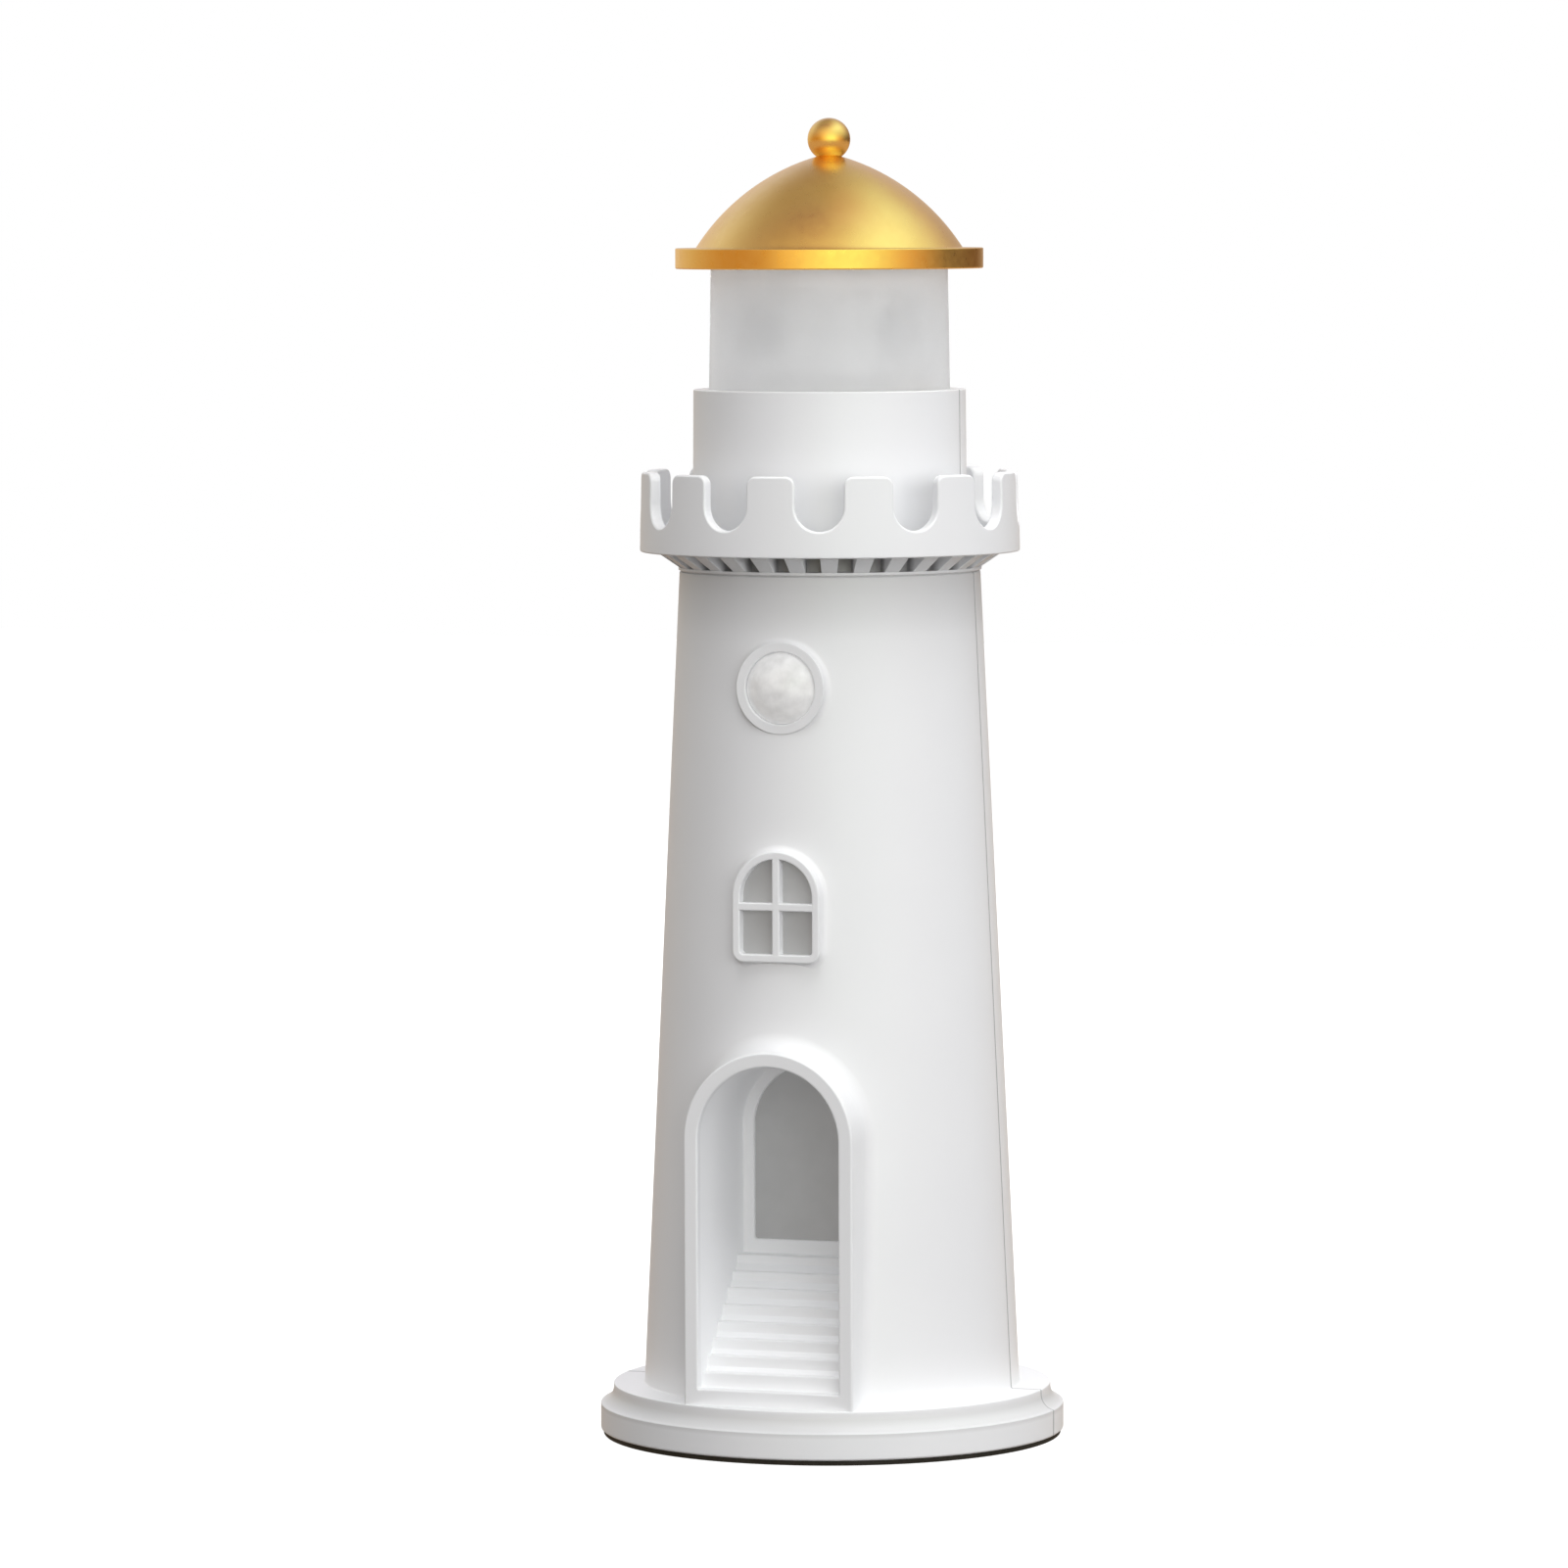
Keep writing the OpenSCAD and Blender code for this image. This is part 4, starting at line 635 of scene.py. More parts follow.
def cove(count=14):
    """Points of the hollow moulding, from the rim up to the lip."""
    middle = BASE_TOP_R + COVE_R
    first = math.pi + math.acos((middle - BASE_R) / COVE_R)
    return [(middle + COVE_R * math.cos(a), COVE_TOP + COVE_R * math.sin(a))
            for a in np.linspace(first, math.pi, count)]


shell_outline = eased_outline([
    (PLATE_SEAT_R, PAD_TOP, 0.25), (BASE_R, PAD_TOP, 0.5), (*cove()[0], 0.25),
    *[(*p, 0) for p in cove()[1:]], (BASE_TOP_R, BASE_TOP, 0.25), (TOWER_FOOT_R, BASE_TOP, 0.4),
    (TOWER_TOP_R, TOWER_TOP, 0.4), (DRUM_FOOT_R, TOWER_TOP, 0.2), (DRUM_TOP_R, DRUM_TOP, 0.25),
    (LIP_R, DRUM_TOP, 0.25), (LIP_R, DRUM_TOP - 2, 0.25), (27.02, DRUM_TOP - 2, 0),
    (27.05, DECK_BOTTOM, 0), (LEDGE_R, DECK_BOTTOM, 0.25), (LEDGE_R, LEDGE_FOOT, 0.25),
    (27.07, LEDGE_FOOT - 2.2, 0), (DRUM_FOOT_R - WALL, TOWER_TOP - WALL, 0.3),
    (TOWER_TOP_R - WALL, TOWER_TOP - WALL, 0.3), (TOWER_FOOT_R - WALL, BASE_TOP - WALL, 0),
    (BASE_TOP_R - 2.4, BASE_TOP - WALL, 0.3), (PLATE_SEAT_R, PLATE_SEAT_TOP, 0.3)])


def true_cone(piece):
    """Gives the tower's outside the exact normals of its cone, so that cuts leave no streaks."""
    mesh = piece.data
    normals = [corner.vector.copy() for corner in mesh.corner_normals]
    for face in mesh.polygons:
        for index in face.loop_indices:
            x, y, z = mesh.vertices[mesh.loops[index].vertex_index].co / MM
            on_cone = abs(math.hypot(x, y) - tower_r(z)) <= 0.02
            between = BASE_TOP + 1 < z < TOWER_TOP - 1
            if on_cone and between and np.dot(face.normal, cone_normal(x, y)) > 0.995:
                normals[index] = Vector(cone_normal(x, y))
    mesh.normals_split_custom_set(normals)
    return piece


front_wall = turned_half("front_wall", shell_outline, -1)
rear_wall = turned_half("rear_wall", shell_outline, 1)
print("the outline of the wall has", len(shell_outline), "points")


# %% Frames that stand out of the tower
def arch_path(half_w, foot, top, corner, side_steps=14, arc_steps=56, corner_steps=6):
    """Points and outward directions round an arch: up the left side, over, down and back below."""
    spring, low, right = top - half_w, foot + corner, half_w - corner
    bends = [math.pi / 2 * k / corner_steps for k in range(corner_steps + 1)]
    # Each point is a centre, a radius and an angle round the centre.
    spots = [(-half_w, z, 0, math.pi) for z in np.linspace(low, spring, side_steps + 1)]
    spots += [(0, spring, half_w, math.pi * (1 - k / arc_steps)) for k in range(1, arc_steps)]
    spots += [(half_w, z, 0, 0) for z in np.linspace(spring, low, side_steps + 1)]
    spots += [(right, low, corner, -a) for a in bends[1:]]
    spots += [(-right, low, corner, -math.pi / 2 - a) for a in bends[:-1]]
    out = [(round(math.cos(a), 9), round(math.sin(a), 9)) for *_, a in spots]
    return [(x + r * c, z + r * s) for (x, z, r, _), (c, s) in zip(spots, out)], out


def ring_path(radius, middle, count=120):
    """Points and outward directions round a circle."""
    angles = [2 * math.pi * k / count for k in range(count)]
    out = [(math.cos(a), math.sin(a)) for a in angles]
    return [(radius * x, middle + radius * z) for x, z in out], out


LIFT = 0.01


def rolling_ball(x, z, out, most, room):
    """The largest ball, up to a radius, that fits between a frame's side and the tower. It stays
    a hair off the tower, so that its fillet doesn't flicker with the wall."""
    def centre(r):
        cx, cz = x + out[0] * r, z + out[1] * r
        away = tower_r(cz) + (r + LIFT) / math.cos(SLOPE_ANGLE)
        return np.array((cx, -math.sqrt(away * away - cx * cx), cz))
    low, high = 0.02, most
    if centre(high)[1] >= room:
        return high, centre(high)
    for _ in range(24):
        r = (low + high) / 2
        low, high = (r, high) if centre(r)[1] >= room else (low, r)
    return low, centre(low)


def turn_between(a, b, t):
    """The direction a share t of the way from one direction to another."""
    angle = math.acos(np.clip(a @ b, -1, 1))
    return (math.sin((1 - t) * angle) * a + math.sin(t * angle) * b) / math.sin(angle)


def front_edge(x, z, side, front, ease):
    """Points and directions round an eased edge, from the front face to a side."""
    rows = []
    for a in np.linspace(0, math.pi / 2, 6):
        way = side * math.sin(a) + np.array((0, -math.cos(a), 0))
        rows.append((np.array((x, front + ease, z)) + (way - side) * ease, way))
    return rows


def frame_ring(name, outer, inner, seat, front, lip_back, back, outer_ease, inner_ease, fillet):
    """A frame that stands on the tower: its side runs into the tower in a hollow fillet, and its
    opening has a lip and, behind it, a wider seat."""
    (outer_points, outs), (inner_points, ins) = outer, inner
    sections, normals = [], []
    for (x, z), (nx, nz), (ix, iz), (mx, mz), (sx, sz) in zip(
            outer_points, outs, inner_points, ins, seat[0]):
        side, within = np.array((nx, 0, nz)), -np.array((mx, 0, mz))
        rows = front_edge(x, z, side, front, outer_ease)
        radius, centre = rolling_ball(x, z, (nx, nz), fillet, front + outer_ease + 0.02)
        cone = cone_normal(centre[0], centre[1])
        for k in range(13):
            way = turn_between(-side, -cone, k / 12)
            rows.append((centre + radius * way, -way))
        rows.append((rows[-1][0] - cone * 1.2, cone))
        rows += [((x, back, z), side), ((sx, back, sz), within), ((sx, lip_back, sz), within),
                 ((ix, lip_back, iz), within), *front_edge(ix, iz, within, front, inner_ease)[::-1]]
        sections.append([tuple(p) for p, n in rows])
        normals += [tuple(n) for p, n in rows]
    piece = loft(name, sections, ring=True)
    with opened(piece) as bm:
        bmesh.ops.recalc_face_normals(bm, faces=bm.faces)
    piece.data.shade_smooth()
    piece.data.normals_split_custom_set_from_vertices(normals)
    return piece


DOOR_HALF, DOOR_TOP, DOOR_FRONT, DOOR_BORDER, SILL_TOP = 18.8, 86.5, -43.3, 3.15, 14.5
ALCOVE_FRONT = -41.3
door_frame = frame_ring(
    "door_frame", outer=arch_path(DOOR_HALF, BASE_TOP - 1.5, DOOR_TOP, 0.8),
    inner=arch_path(DOOR_HALF - DOOR_BORDER, SILL_TOP, DOOR_TOP - DOOR_BORDER, 0.3),
    seat=arch_path(17.3, BASE_TOP, 85.0, 0.3), front=DOOR_FRONT, lip_back=ALCOVE_FRONT, back=-31.0,
    outer_ease=0.5, inner_ease=0.45, fillet=4)
WINDOW_HALF, WINDOW_FOOT, WINDOW_TOP, WINDOW_BORDER, WINDOW_MIDDLE = 9.725, 105.0, 128.6, 1.7, 116.8
WINDOW_FRONT, WINDOW_PANE_FRONT, WINDOW_SEAT = -37.456, -34.856, (8.725, 106.0, 127.6, 1.4)
window_frame = frame_ring(
    "window_frame", outer=arch_path(WINDOW_HALF, WINDOW_FOOT, WINDOW_TOP, 2.4),
    inner=arch_path(WINDOW_HALF - WINDOW_BORDER, WINDOW_FOOT + WINDOW_BORDER,
                    WINDOW_TOP - WINDOW_BORDER, 0.8),
    seat=arch_path(*WINDOW_SEAT), front=WINDOW_FRONT, lip_back=WINDOW_PANE_FRONT, back=-32.356,
    outer_ease=0.4, inner_ease=0.3, fillet=1.4)
SENSOR_MID, SENSOR_FRONT, SENSOR_BACK = 162.9, -34.099, -30.099
sensor_ring = frame_ring(
    "sensor_ring", outer=ring_path(9.75, SENSOR_MID), inner=ring_path(7.7, SENSOR_MID),
    seat=ring_path(7.75, SENSOR_MID), front=SENSOR_FRONT, lip_back=-30.3, back=SENSOR_BACK,
    outer_ease=0.2, inner_ease=0.3, fillet=1.4)
print("door frame:", len(door_frame.data.polygons), "faces")


# %% Window bars
BAR_HALF, BAR_BACK, BAR_EASE = 0.825, -34.87, 0.3


def bar(name, upright, ends, front):
    """A glazing bar with eased front edges, upright or level, between two ends."""
    outline = eased_outline([(-BAR_HALF, front, BAR_EASE), (BAR_HALF, front, BAR_EASE),
                             (BAR_HALF, BAR_BACK, 0), (-BAR_HALF, BAR_BACK, 0)])
    sections = [[(a, y, end) if upright else (end, y, WINDOW_MIDDLE + a) for a, y in outline]
                for end in ends]
    return polish(clean(loft(name, sections)))


upright_bar = bar("upright_bar", True, (106.0, 127.6), WINDOW_FRONT + 0.02)
level_bar = bar("level_bar", False, (-8.9, 8.9), WINDOW_FRONT + 0.03)

# %% [markdown]
# Inside, the halves carry what holds the lamp together: bosses with pins along the seam, posts for
# the base screws, pegs and posts for the small boards. Each is a turned rod, set along Y or Z.
# %% Posts and pins
def turned_along_y(name, outline, x, z, segments=32):
    """Turns an outline of (radius, y) points round an axis along Y through (x, z)."""
    piece = turned(name, outline, segments)
    piece.data.transform(Matrix.Translation(Vector((x, 0, z)) * MM)
                         @ Matrix.Rotation(-math.pi / 2, 4, "X"))
    return piece


def rod(x, z, radius, y_from, y_to, bore=0, ease=0.2):
    """A rod along Y with eased ends, with a bore through it where one is given."""
    outline = eased_outline([(bore, y_from, 0), (radius, y_from, ease),
                             (radius, y_to, ease), (bore, y_to, 0)])
    return turned_along_y("rod", outline, x, z)


SCREW_CIRCLE_R, POST_R, POST_BORE, POST_FOOT, POST_TOP = 43.5, 2.5, 1.2, 3.1, 10.0


def screw_post(angle):
    """A post over a screw of the base plate, at an angle round the axis."""
    post = turned("post", eased_outline([(POST_BORE, POST_FOOT, 0.1), (POST_R, POST_FOOT, 0.2),
                                         (POST_R, POST_TOP, 0), (POST_BORE, POST_TOP, 0)]), 32)
    a = math.radians(angle)
    post.data.transform(Matrix.Translation(
        Vector((math.cos(a), math.sin(a), 0)) * SCREW_CIRCLE_R * MM))
    return post


PIN_HEIGHTS, SEAM_INSET = (58.4, 107.5, 156.6), 3.8
BOSS_R, BOSS_LENGTH, PIN_R, PIN_END = 2.6, 6, 1.3, 4.5
front_posts, rear_posts = [], []
for z in PIN_HEIGHTS:
    for x in (SEAM_INSET - tower_r(z), tower_r(z) - SEAM_INSET):
        front_posts += [rod(x, z, BOSS_R, -BOSS_LENGTH, -0.02),
                        rod(x, z, PIN_R, -1, PIN_END, ease=0.3)]
        rear_posts.append(rod(x, z, BOSS_R, 0.02, BOSS_LENGTH, bore=PIN_R + 0.05))


def wall_y(x, z, bite=0.9):
    """Where a rod inside the front wall starts, a little inside the wall's outer face."""
    return bite - math.sqrt(tower_r(z) ** 2 - x ** 2)


PEG_R, BOARD_POST_R = 1.2, 2.2
WINDOW_BOARD_Y, SENSOR_BOARD_Y, MAIN_BOARD_Y = -28.356, -24.299, 30.448
for z in (110.8, 122.8):
    front_posts += [rod(x, z, PEG_R, wall_y(x, z), WINDOW_BOARD_Y) for x in (-11.525, 11.525)]
front_posts += [rod(x, SENSOR_MID, BOARD_POST_R, wall_y(x, SENSOR_MID), SENSOR_BOARD_Y)
                for x in (-11.7, 11.7)]
front_posts += [screw_post(a) for a in (-45, -135)]
rear_posts += [screw_post(a) for a in (45, 135)]
for z, wall_side in ((93.1, 34.2), (17.1, 35.6)):
    rear_posts += [rod(x, z, BOARD_POST_R, MAIN_BOARD_Y, wall_side) for x in (-8.4, 8.4)]
print("posts in front and behind:", len(front_posts), len(rear_posts))

# %% [markdown]
# The wall is cut open behind the frames. Each cut ends under the middle of its frame, so its edge
# never shows. Then the wall, the frames, the bars and the posts become one moulding.
# %% Openings
for path in (arch_path(18.1, BASE_TOP + 0.02, 85.8, 0.1), arch_path(9.0, 105.7, 127.9, 1.5),
             ring_path(8.8, SENSOR_MID)):
    carve(front_wall, prism("opening", path[0], -60, -15))
true_cone(polish(front_wall))
front = join("front_moulding", [front_wall, door_frame, window_frame, sensor_ring, upright_bar,
                                level_bar, *[polish(post) for post in front_posts]])
stand_for(front, "front_shell", look="parted_shell")

# %% [markdown]
# The rear half carries the controls: a charging port, a slide switch and a push button. They sit in
# a flat pocket, because a flat board stands behind it. A thicker plate is joined to the wall, and
# then the pocket and the openings are cut. The cut edges get a small bevel, as on a moulded pocket.
# %% Rear half
PANEL_HALF_W, PANEL_HALF_H, PANEL_Z, PANEL_FACE, PANEL_INNER = 8, 19, 35.1, 37.248, 35.248
PORT_Z, SLIDER_Z, BUTTON_Z, PANEL_RIM, CUT_EASE = 22.6, 33.6, 45.1, 1.6, 0.22
PORT_HALF_W, PORT_HALF_H, SLOT_HALF_W, SLOT_HALF_H, BUTTON_HOLE_R = 4.72, 1.88, 3.7, 1.3, 4.0
plate_box = rounded_box(PANEL_HALF_W + PANEL_RIM, PANEL_HALF_H + PANEL_RIM, 0.4, z=PANEL_Z)
plate = prism("plate", plate_box, PANEL_INNER, 50)
inside = turned("inside", [(0, 5), (tower_r(5) - 0.4, 5), (tower_r(90) - 0.4, 90), (0, 90)], 360)
carve(plate, inside, "INTERSECT")
carve(rear_wall, plate, "UNION")
pocket = rounded_box(PANEL_HALF_W, PANEL_HALF_H, 3, z=PANEL_Z)
carve(rear_wall, prism("pocket", pocket, PANEL_FACE, 60))
port = rounded_box(PORT_HALF_W, PORT_HALF_H, PORT_HALF_H * 0.999, z=PORT_Z)
slot = rounded_box(SLOT_HALF_W, SLOT_HALF_H, 0.2, z=SLIDER_Z)
for outline in (port, slot, ring_path(BUTTON_HOLE_R, BUTTON_Z, 64)[0]):
    carve(rear_wall, prism("opening", outline, PANEL_INNER - 1, PANEL_FACE + 1))


def ease_pocket(piece):
    """Bevels the sharp edges of the pocket and of the openings in it."""
    with opened(piece) as bm:
        sharp = [e for e in bm.edges
                 if len(e.link_faces) == 2 and e.calc_face_angle(0) > math.radians(40)
                 and all(abs(x) < PANEL_HALF_W + 0.2 and y > PANEL_FACE - 0.01
                         and abs(z - PANEL_Z) < PANEL_HALF_H + 0.2
                         for x, y, z in (v.co / MM for v in e.verts))]
        bmesh.ops.bevel(bm, geom=sharp, offset=CUT_EASE * MM, segments=3, profile=0.5,
                        affect="EDGES", clamp_overlap=True)
    return len(sharp)


print("eased edges of the pocket:", ease_pocket(rear_wall))
true_cone(polish(rear_wall))
stand_for(join("rear_moulding", [rear_wall, *[polish(post) for post in rear_posts]]), "rear_shell",
          look="parted_shell")

# %% [markdown]
# ## The gallery
# The gallery is a battlement ring: twelve merlons with soft corners and twelve round-bottomed
# notches. It is a repeat, so one notch with half a merlon on each side is made flat, bent to the
# ring's radius and set round by Geometry Nodes.
# %% One notch
GALLERY_FOOT, GALLERY_H, GALLERY_R, GALLERY_FLARE, GALLERY_WALL = 190.6, 17.2, 40.5, 0.3, 2.55
MERLONS, NOTCH_W, NOTCH_H, MERLON_CORNER, FLOOR_T = 12, 10.4, 11.6, 2.0, 2.4
BATTLEMENT_EASE, FOOT_EASE, RING_BORE_R = 0.5, 0.4, 29.7
NOTCH_REACH = GALLERY_R * math.sin(math.pi / MERLONS)


def notch_path():
    """Points and directions out of the wall along its top edge, through one notch."""
    r, c = NOTCH_W / 2, MERLON_CORNER
    left = [(-NOTCH_REACH, GALLERY_H, 0, 1)]
    left += [(-r - c + c * math.sin(a), GALLERY_H - c + c * math.cos(a), math.sin(a), math.cos(a))
             for a in np.linspace(0, math.pi / 2, 9)]
    middle = GALLERY_H - NOTCH_H + r
    bottom = [(r * math.cos(a), middle + r * math.sin(a), -math.cos(a), -math.sin(a))
              for a in np.linspace(math.pi, 2 * math.pi, 29)]
    right = [(-x, z, -nx, nz) for x, z, nx, nz in reversed(left)]
    return left + bottom + right


def wrapped(x, z, depth):
    """Bends a point of the flat wall round the axis. The notch keeps its parallel sides."""
    inner = GALLERY_R - GALLERY_WALL
    outer = GALLERY_R + GALLERY_FLARE * (1 - z / GALLERY_H)
    r = outer - (outer - inner) * depth / GALLERY_WALL
    start = NOTCH_W / 2 + MERLON_CORNER
    share = min(1, max(0, (abs(x) - start) / (NOTCH_REACH - start)))
    angle = (1 - share) * math.asin(x / r) + share * math.asin(x / GALLERY_R)
    return Vector((r * math.sin(angle), -r * math.cos(angle), GALLERY_FOOT + z)) * MM


def notch_piece():
    """One notch of the wall with half a merlon on each side, open where the next one joins."""
    e, t = BATTLEMENT_EASE, GALLERY_WALL
    path, half = notch_path(), NOTCH_REACH
    bm = bmesh.new()
    rows = []
    for depth, sign in ((0, 1), (t, -1)):
        turns = np.linspace(0, math.pi / 2, 5)
        if sign < 0:
            turns = turns[::-1]
        for a in turns:
            out, deep = e * (1 - math.sin(a)), depth + sign * e * (1 - math.cos(a))
            rows.append([bm.verts.new((x - nx * out, deep, z - nz * out)) for x, z, nx, nz in path])
    feet = [(0, FOOT_EASE), (0.05, 0.2), (0.2, 0.05), (FOOT_EASE, 0), (t, 0)]
    foot_rows = [[bm.verts.new((x, d, z)) for x in (half, -half)] for d, z in feet]
    for a, b in zip(rows, rows[1:]):
        for k in range(len(path) - 1):
            bm.faces.new((a[k], a[k + 1], b[k + 1], b[k]))
    for a, b in zip(foot_rows, foot_rows[1:]):
        bm.faces.new((a[0], a[1], b[1], b[0]))
    bm.faces.new(rows[0] + foot_rows[0])
    bm.faces.new(rows[-1] + foot_rows[-1])
    bmesh.ops.recalc_face_normals(bm, faces=bm.faces)
    for x in np.linspace(-half, half, 27)[1:-1]:
        bmesh.ops.bisect_plane(bm, geom=bm.verts[:] + bm.edges[:] + bm.faces[:], dist=1e-5,
                               plane_co=(x, 0, 0), plane_no=(1, 0, 0))
    for v in bm.verts:
        v.co = wrapped(v.co.x, v.co.z, v.co.y)
    mesh = bpy.data.meshes.new("notch")
    bm.to_mesh(mesh)
    bm.free()
    mesh.shade_smooth()
    return put("notch", mesh)


# %% Set round
def ring_tree(name):
    """A node tree that sets copies of an object round the Z axis and merges where they meet."""
    tree = bpy.data.node_groups.new(name, "GeometryNodeTree")
    tree.interface.new_socket("Geometry", in_out="OUTPUT", socket_type="NodeSocketGeometry")
    inputs = {}
    for label, kind in (("Geometry", "Geometry"), ("Copy", "Object"), ("Count", "Int"),
                        ("First angle", "Float"), ("Finish", "Material")):
        made = tree.interface.new_socket(label, in_out="INPUT", socket_type="NodeSocket" + kind)
        inputs[label] = made.identifier
    entry = tree.nodes.new("NodeGroupInput").outputs
    leave = tree.nodes.new("NodeGroupOutput").inputs

    def node(kind, values=None):
        return add(tree, kind, values, family="GeometryNode").outputs[0]

    line = node("MeshLine", {"Count": entry["Count"], "Offset": (0, 0, 0)})
    share = calc(tree, "DIVIDE", node("InputIndex"), entry["Count"])
    turn = calc(tree, "MULTIPLY_ADD", share, 2 * math.pi, entry["First angle"])
    spin = add(tree, "CombineXYZ", {"Z": turn}).outputs[0]
    copy = tree.nodes.new("GeometryNodeObjectInfo")
    tree.links.new(entry["Copy"], copy.inputs["Object"])
    placed = node("InstanceOnPoints", {"Points": line, "Instance": copy.outputs["Geometry"],
                                       "Rotation": spin})
    whole = node("MergeByDistance", {"Geometry": node("RealizeInstances", {0: placed}),
                                     "Distance": 0.002 * MM})
    tree.links.new(node("SetMaterial", {"Geometry": whole, "Material": entry["Finish"]}), leave[0])
    return tree, inputs


def set_round(name, copy, count):
    """Repeats a piece round the axis and returns the result as one plain mesh. The first copy
    stands half a step off the front."""
    tree, inputs = ring_tree(name)
    carrier = put(name, bpy.data.meshes.new(name))
    made = carrier.modifiers.new("set_round", "NODES")
    made.node_group = tree
    for label, value in (("Copy", copy), ("Count", count), ("First angle", math.pi / count),
                         ("Finish", finishes["white_shell"])):
        made[inputs[label]] = value
    settle(carrier)
    bpy.data.objects.remove(copy)
    return carrier


battlement = polish(set_round("battlement", notch_piece(), MERLONS))
walkway = polish(turned("walkway", eased_outline([
    (RING_BORE_R, GALLERY_FOOT + 0.02, 0), (GALLERY_R - 1.2, GALLERY_FOOT + 0.02, 0),
    (GALLERY_R - 1.2, GALLERY_FOOT + FLOOR_T, 0), (RING_BORE_R, GALLERY_FOOT + FLOOR_T, 0.3)])))
stand_for(join("gallery_moulding", [battlement, walkway]), "gallery_ring")

# %% [markdown]
# ## The corbels
# Under the gallery sits a ring of thirty small brackets on a collar. One bracket is a narrow wedge
# that flares out, and it is set round the same way as the notches.
# %% Corbels
CORBELS, SLOT_INNER_R, CORBEL_R, CORBEL_FOOT_R = 30, 30.1, 36.8, 32.25
CORBEL_FOOT, CORBEL_EDGE, CORBEL_TOP, CORBEL_EASE = 187.1, 190.2, 190.58, 0.22
COLLAR_R, COLLAR_LIP_R, COLLAR_LIP_FOOT, COLLAR_LIP_TOP = 31.95, 32.55, 186.65, 187.3


def corbel():
    """One bracket: a wedge that flares out under the gallery."""
    root = SLOT_INNER_R - 0.2
    outline = [(root, CORBEL_FOOT), (CORBEL_FOOT_R, CORBEL_FOOT), (CORBEL_R, CORBEL_EDGE),
               (CORBEL_R, CORBEL_TOP), (root, CORBEL_TOP)]
    piece = clean(loft("corbel", [[(r * math.sin(a), -r * math.cos(a), z) for r, z in outline]
                                  for a in np.radians(np.linspace(-3, 3, 4))]))
    ease = piece.modifiers.new("ease", "BEVEL")
    ease.width, ease.segments, ease.limit_method = CORBEL_EASE * MM, 2, "ANGLE"
    ease.angle_limit = math.radians(25)
    return settle(piece)


corbels = polish(set_round("corbels", corbel(), CORBELS))
collar = polish(turned("collar", eased_outline([
    (RING_BORE_R, TOWER_TOP, 0), (COLLAR_R, TOWER_TOP, 0), (COLLAR_R, COLLAR_LIP_FOOT, 0),
    (COLLAR_LIP_R, COLLAR_LIP_FOOT, 0.12), (COLLAR_LIP_R, COLLAR_LIP_TOP, 0.15),
    (SLOT_INNER_R, COLLAR_LIP_TOP + 0.05, 0.1), (SLOT_INNER_R, GALLERY_FOOT, 0),
    (RING_BORE_R, GALLERY_FOOT, 0)])))
stand_for(join("corbel_moulding", [corbels, collar]), "corbel_ring", look="slotted_ring")

# %% [markdown]
# ## The cap and its ball
# The dome is part of an arc through the brim's edge and the top, so its centre follows from the two
# points and the arc's radius. The ball stands on a short neck, with a stud that passes through.
# %% Cap
LANTERN_TOP, BRIM_TOP, DOME_TOP, DOME_R, ARC_R = 251.1, 255.5, 275.7, 28.6, 46.0
BRIM_R, DOME_WALL, NECK_SEAT_R, STUD_BORE_R = 33.0, 1.8, 2.55, 1.6
CAP_BOSS_R, CAP_ROOM_R, TUBE_SEAT_R, TUBE_SEAT_H = 4, 23.4, 24.9, 1.2
chord = math.hypot(DOME_R, DOME_TOP - BRIM_TOP)
drop = math.sqrt(ARC_R ** 2 - (chord / 2) ** 2)
dome_x = DOME_R / 2 - drop * (DOME_TOP - BRIM_TOP) / chord
dome_z = (BRIM_TOP + DOME_TOP) / 2 - drop * DOME_R / chord


def dome_height(r, inset=0):
    """The level of the dome at a radius, or of the inside of its wall."""
    return dome_z + math.sqrt((ARC_R - inset) ** 2 - (r - dome_x) ** 2)


cap_outline = eased_outline(
    [(BRIM_R, LANTERN_TOP, 0.3), (BRIM_R, BRIM_TOP, 0.3), (DOME_R + 0.05, BRIM_TOP, 0.25)]
    + [(r, dome_height(r), 0) for r in np.linspace(DOME_R - 0.4, NECK_SEAT_R, 60)]
    + [(NECK_SEAT_R, DOME_TOP - 1, 0), (STUD_BORE_R, DOME_TOP - 1, 0),
       (STUD_BORE_R, DOME_TOP - 3.4, 0), (CAP_BOSS_R, DOME_TOP - 3.4, 0)]
    + [(r, dome_height(r, DOME_WALL), 0) for r in np.linspace(CAP_BOSS_R, CAP_ROOM_R, 20)]
    + [(CAP_ROOM_R, LANTERN_TOP + TUBE_SEAT_H, 0), (TUBE_SEAT_R, LANTERN_TOP + TUBE_SEAT_H, 0),
       (TUBE_SEAT_R, LANTERN_TOP, 0)])
stand_for(polish(turned("gold_cap", cap_outline)), "cap")

# %% Ball
BALL_R, NECK_R, STUD_R, STUD_LENGTH = 4.58, 2.5, 1.5, 6.4
ball_z = DOME_TOP + 0.65 * BALL_R
ball_outline = ([(BALL_R * math.sin(a), ball_z + BALL_R * math.cos(a))
                 for a in np.linspace(0, math.pi - math.asin(NECK_R / BALL_R), 48)]
                + [(NECK_R, DOME_TOP - 1), (STUD_R, DOME_TOP - 1),
                   (STUD_R, DOME_TOP - STUD_LENGTH), (0, DOME_TOP - STUD_LENGTH)])
stand_for(polish(turned("gold_ball", ball_outline, 96)), "finial")

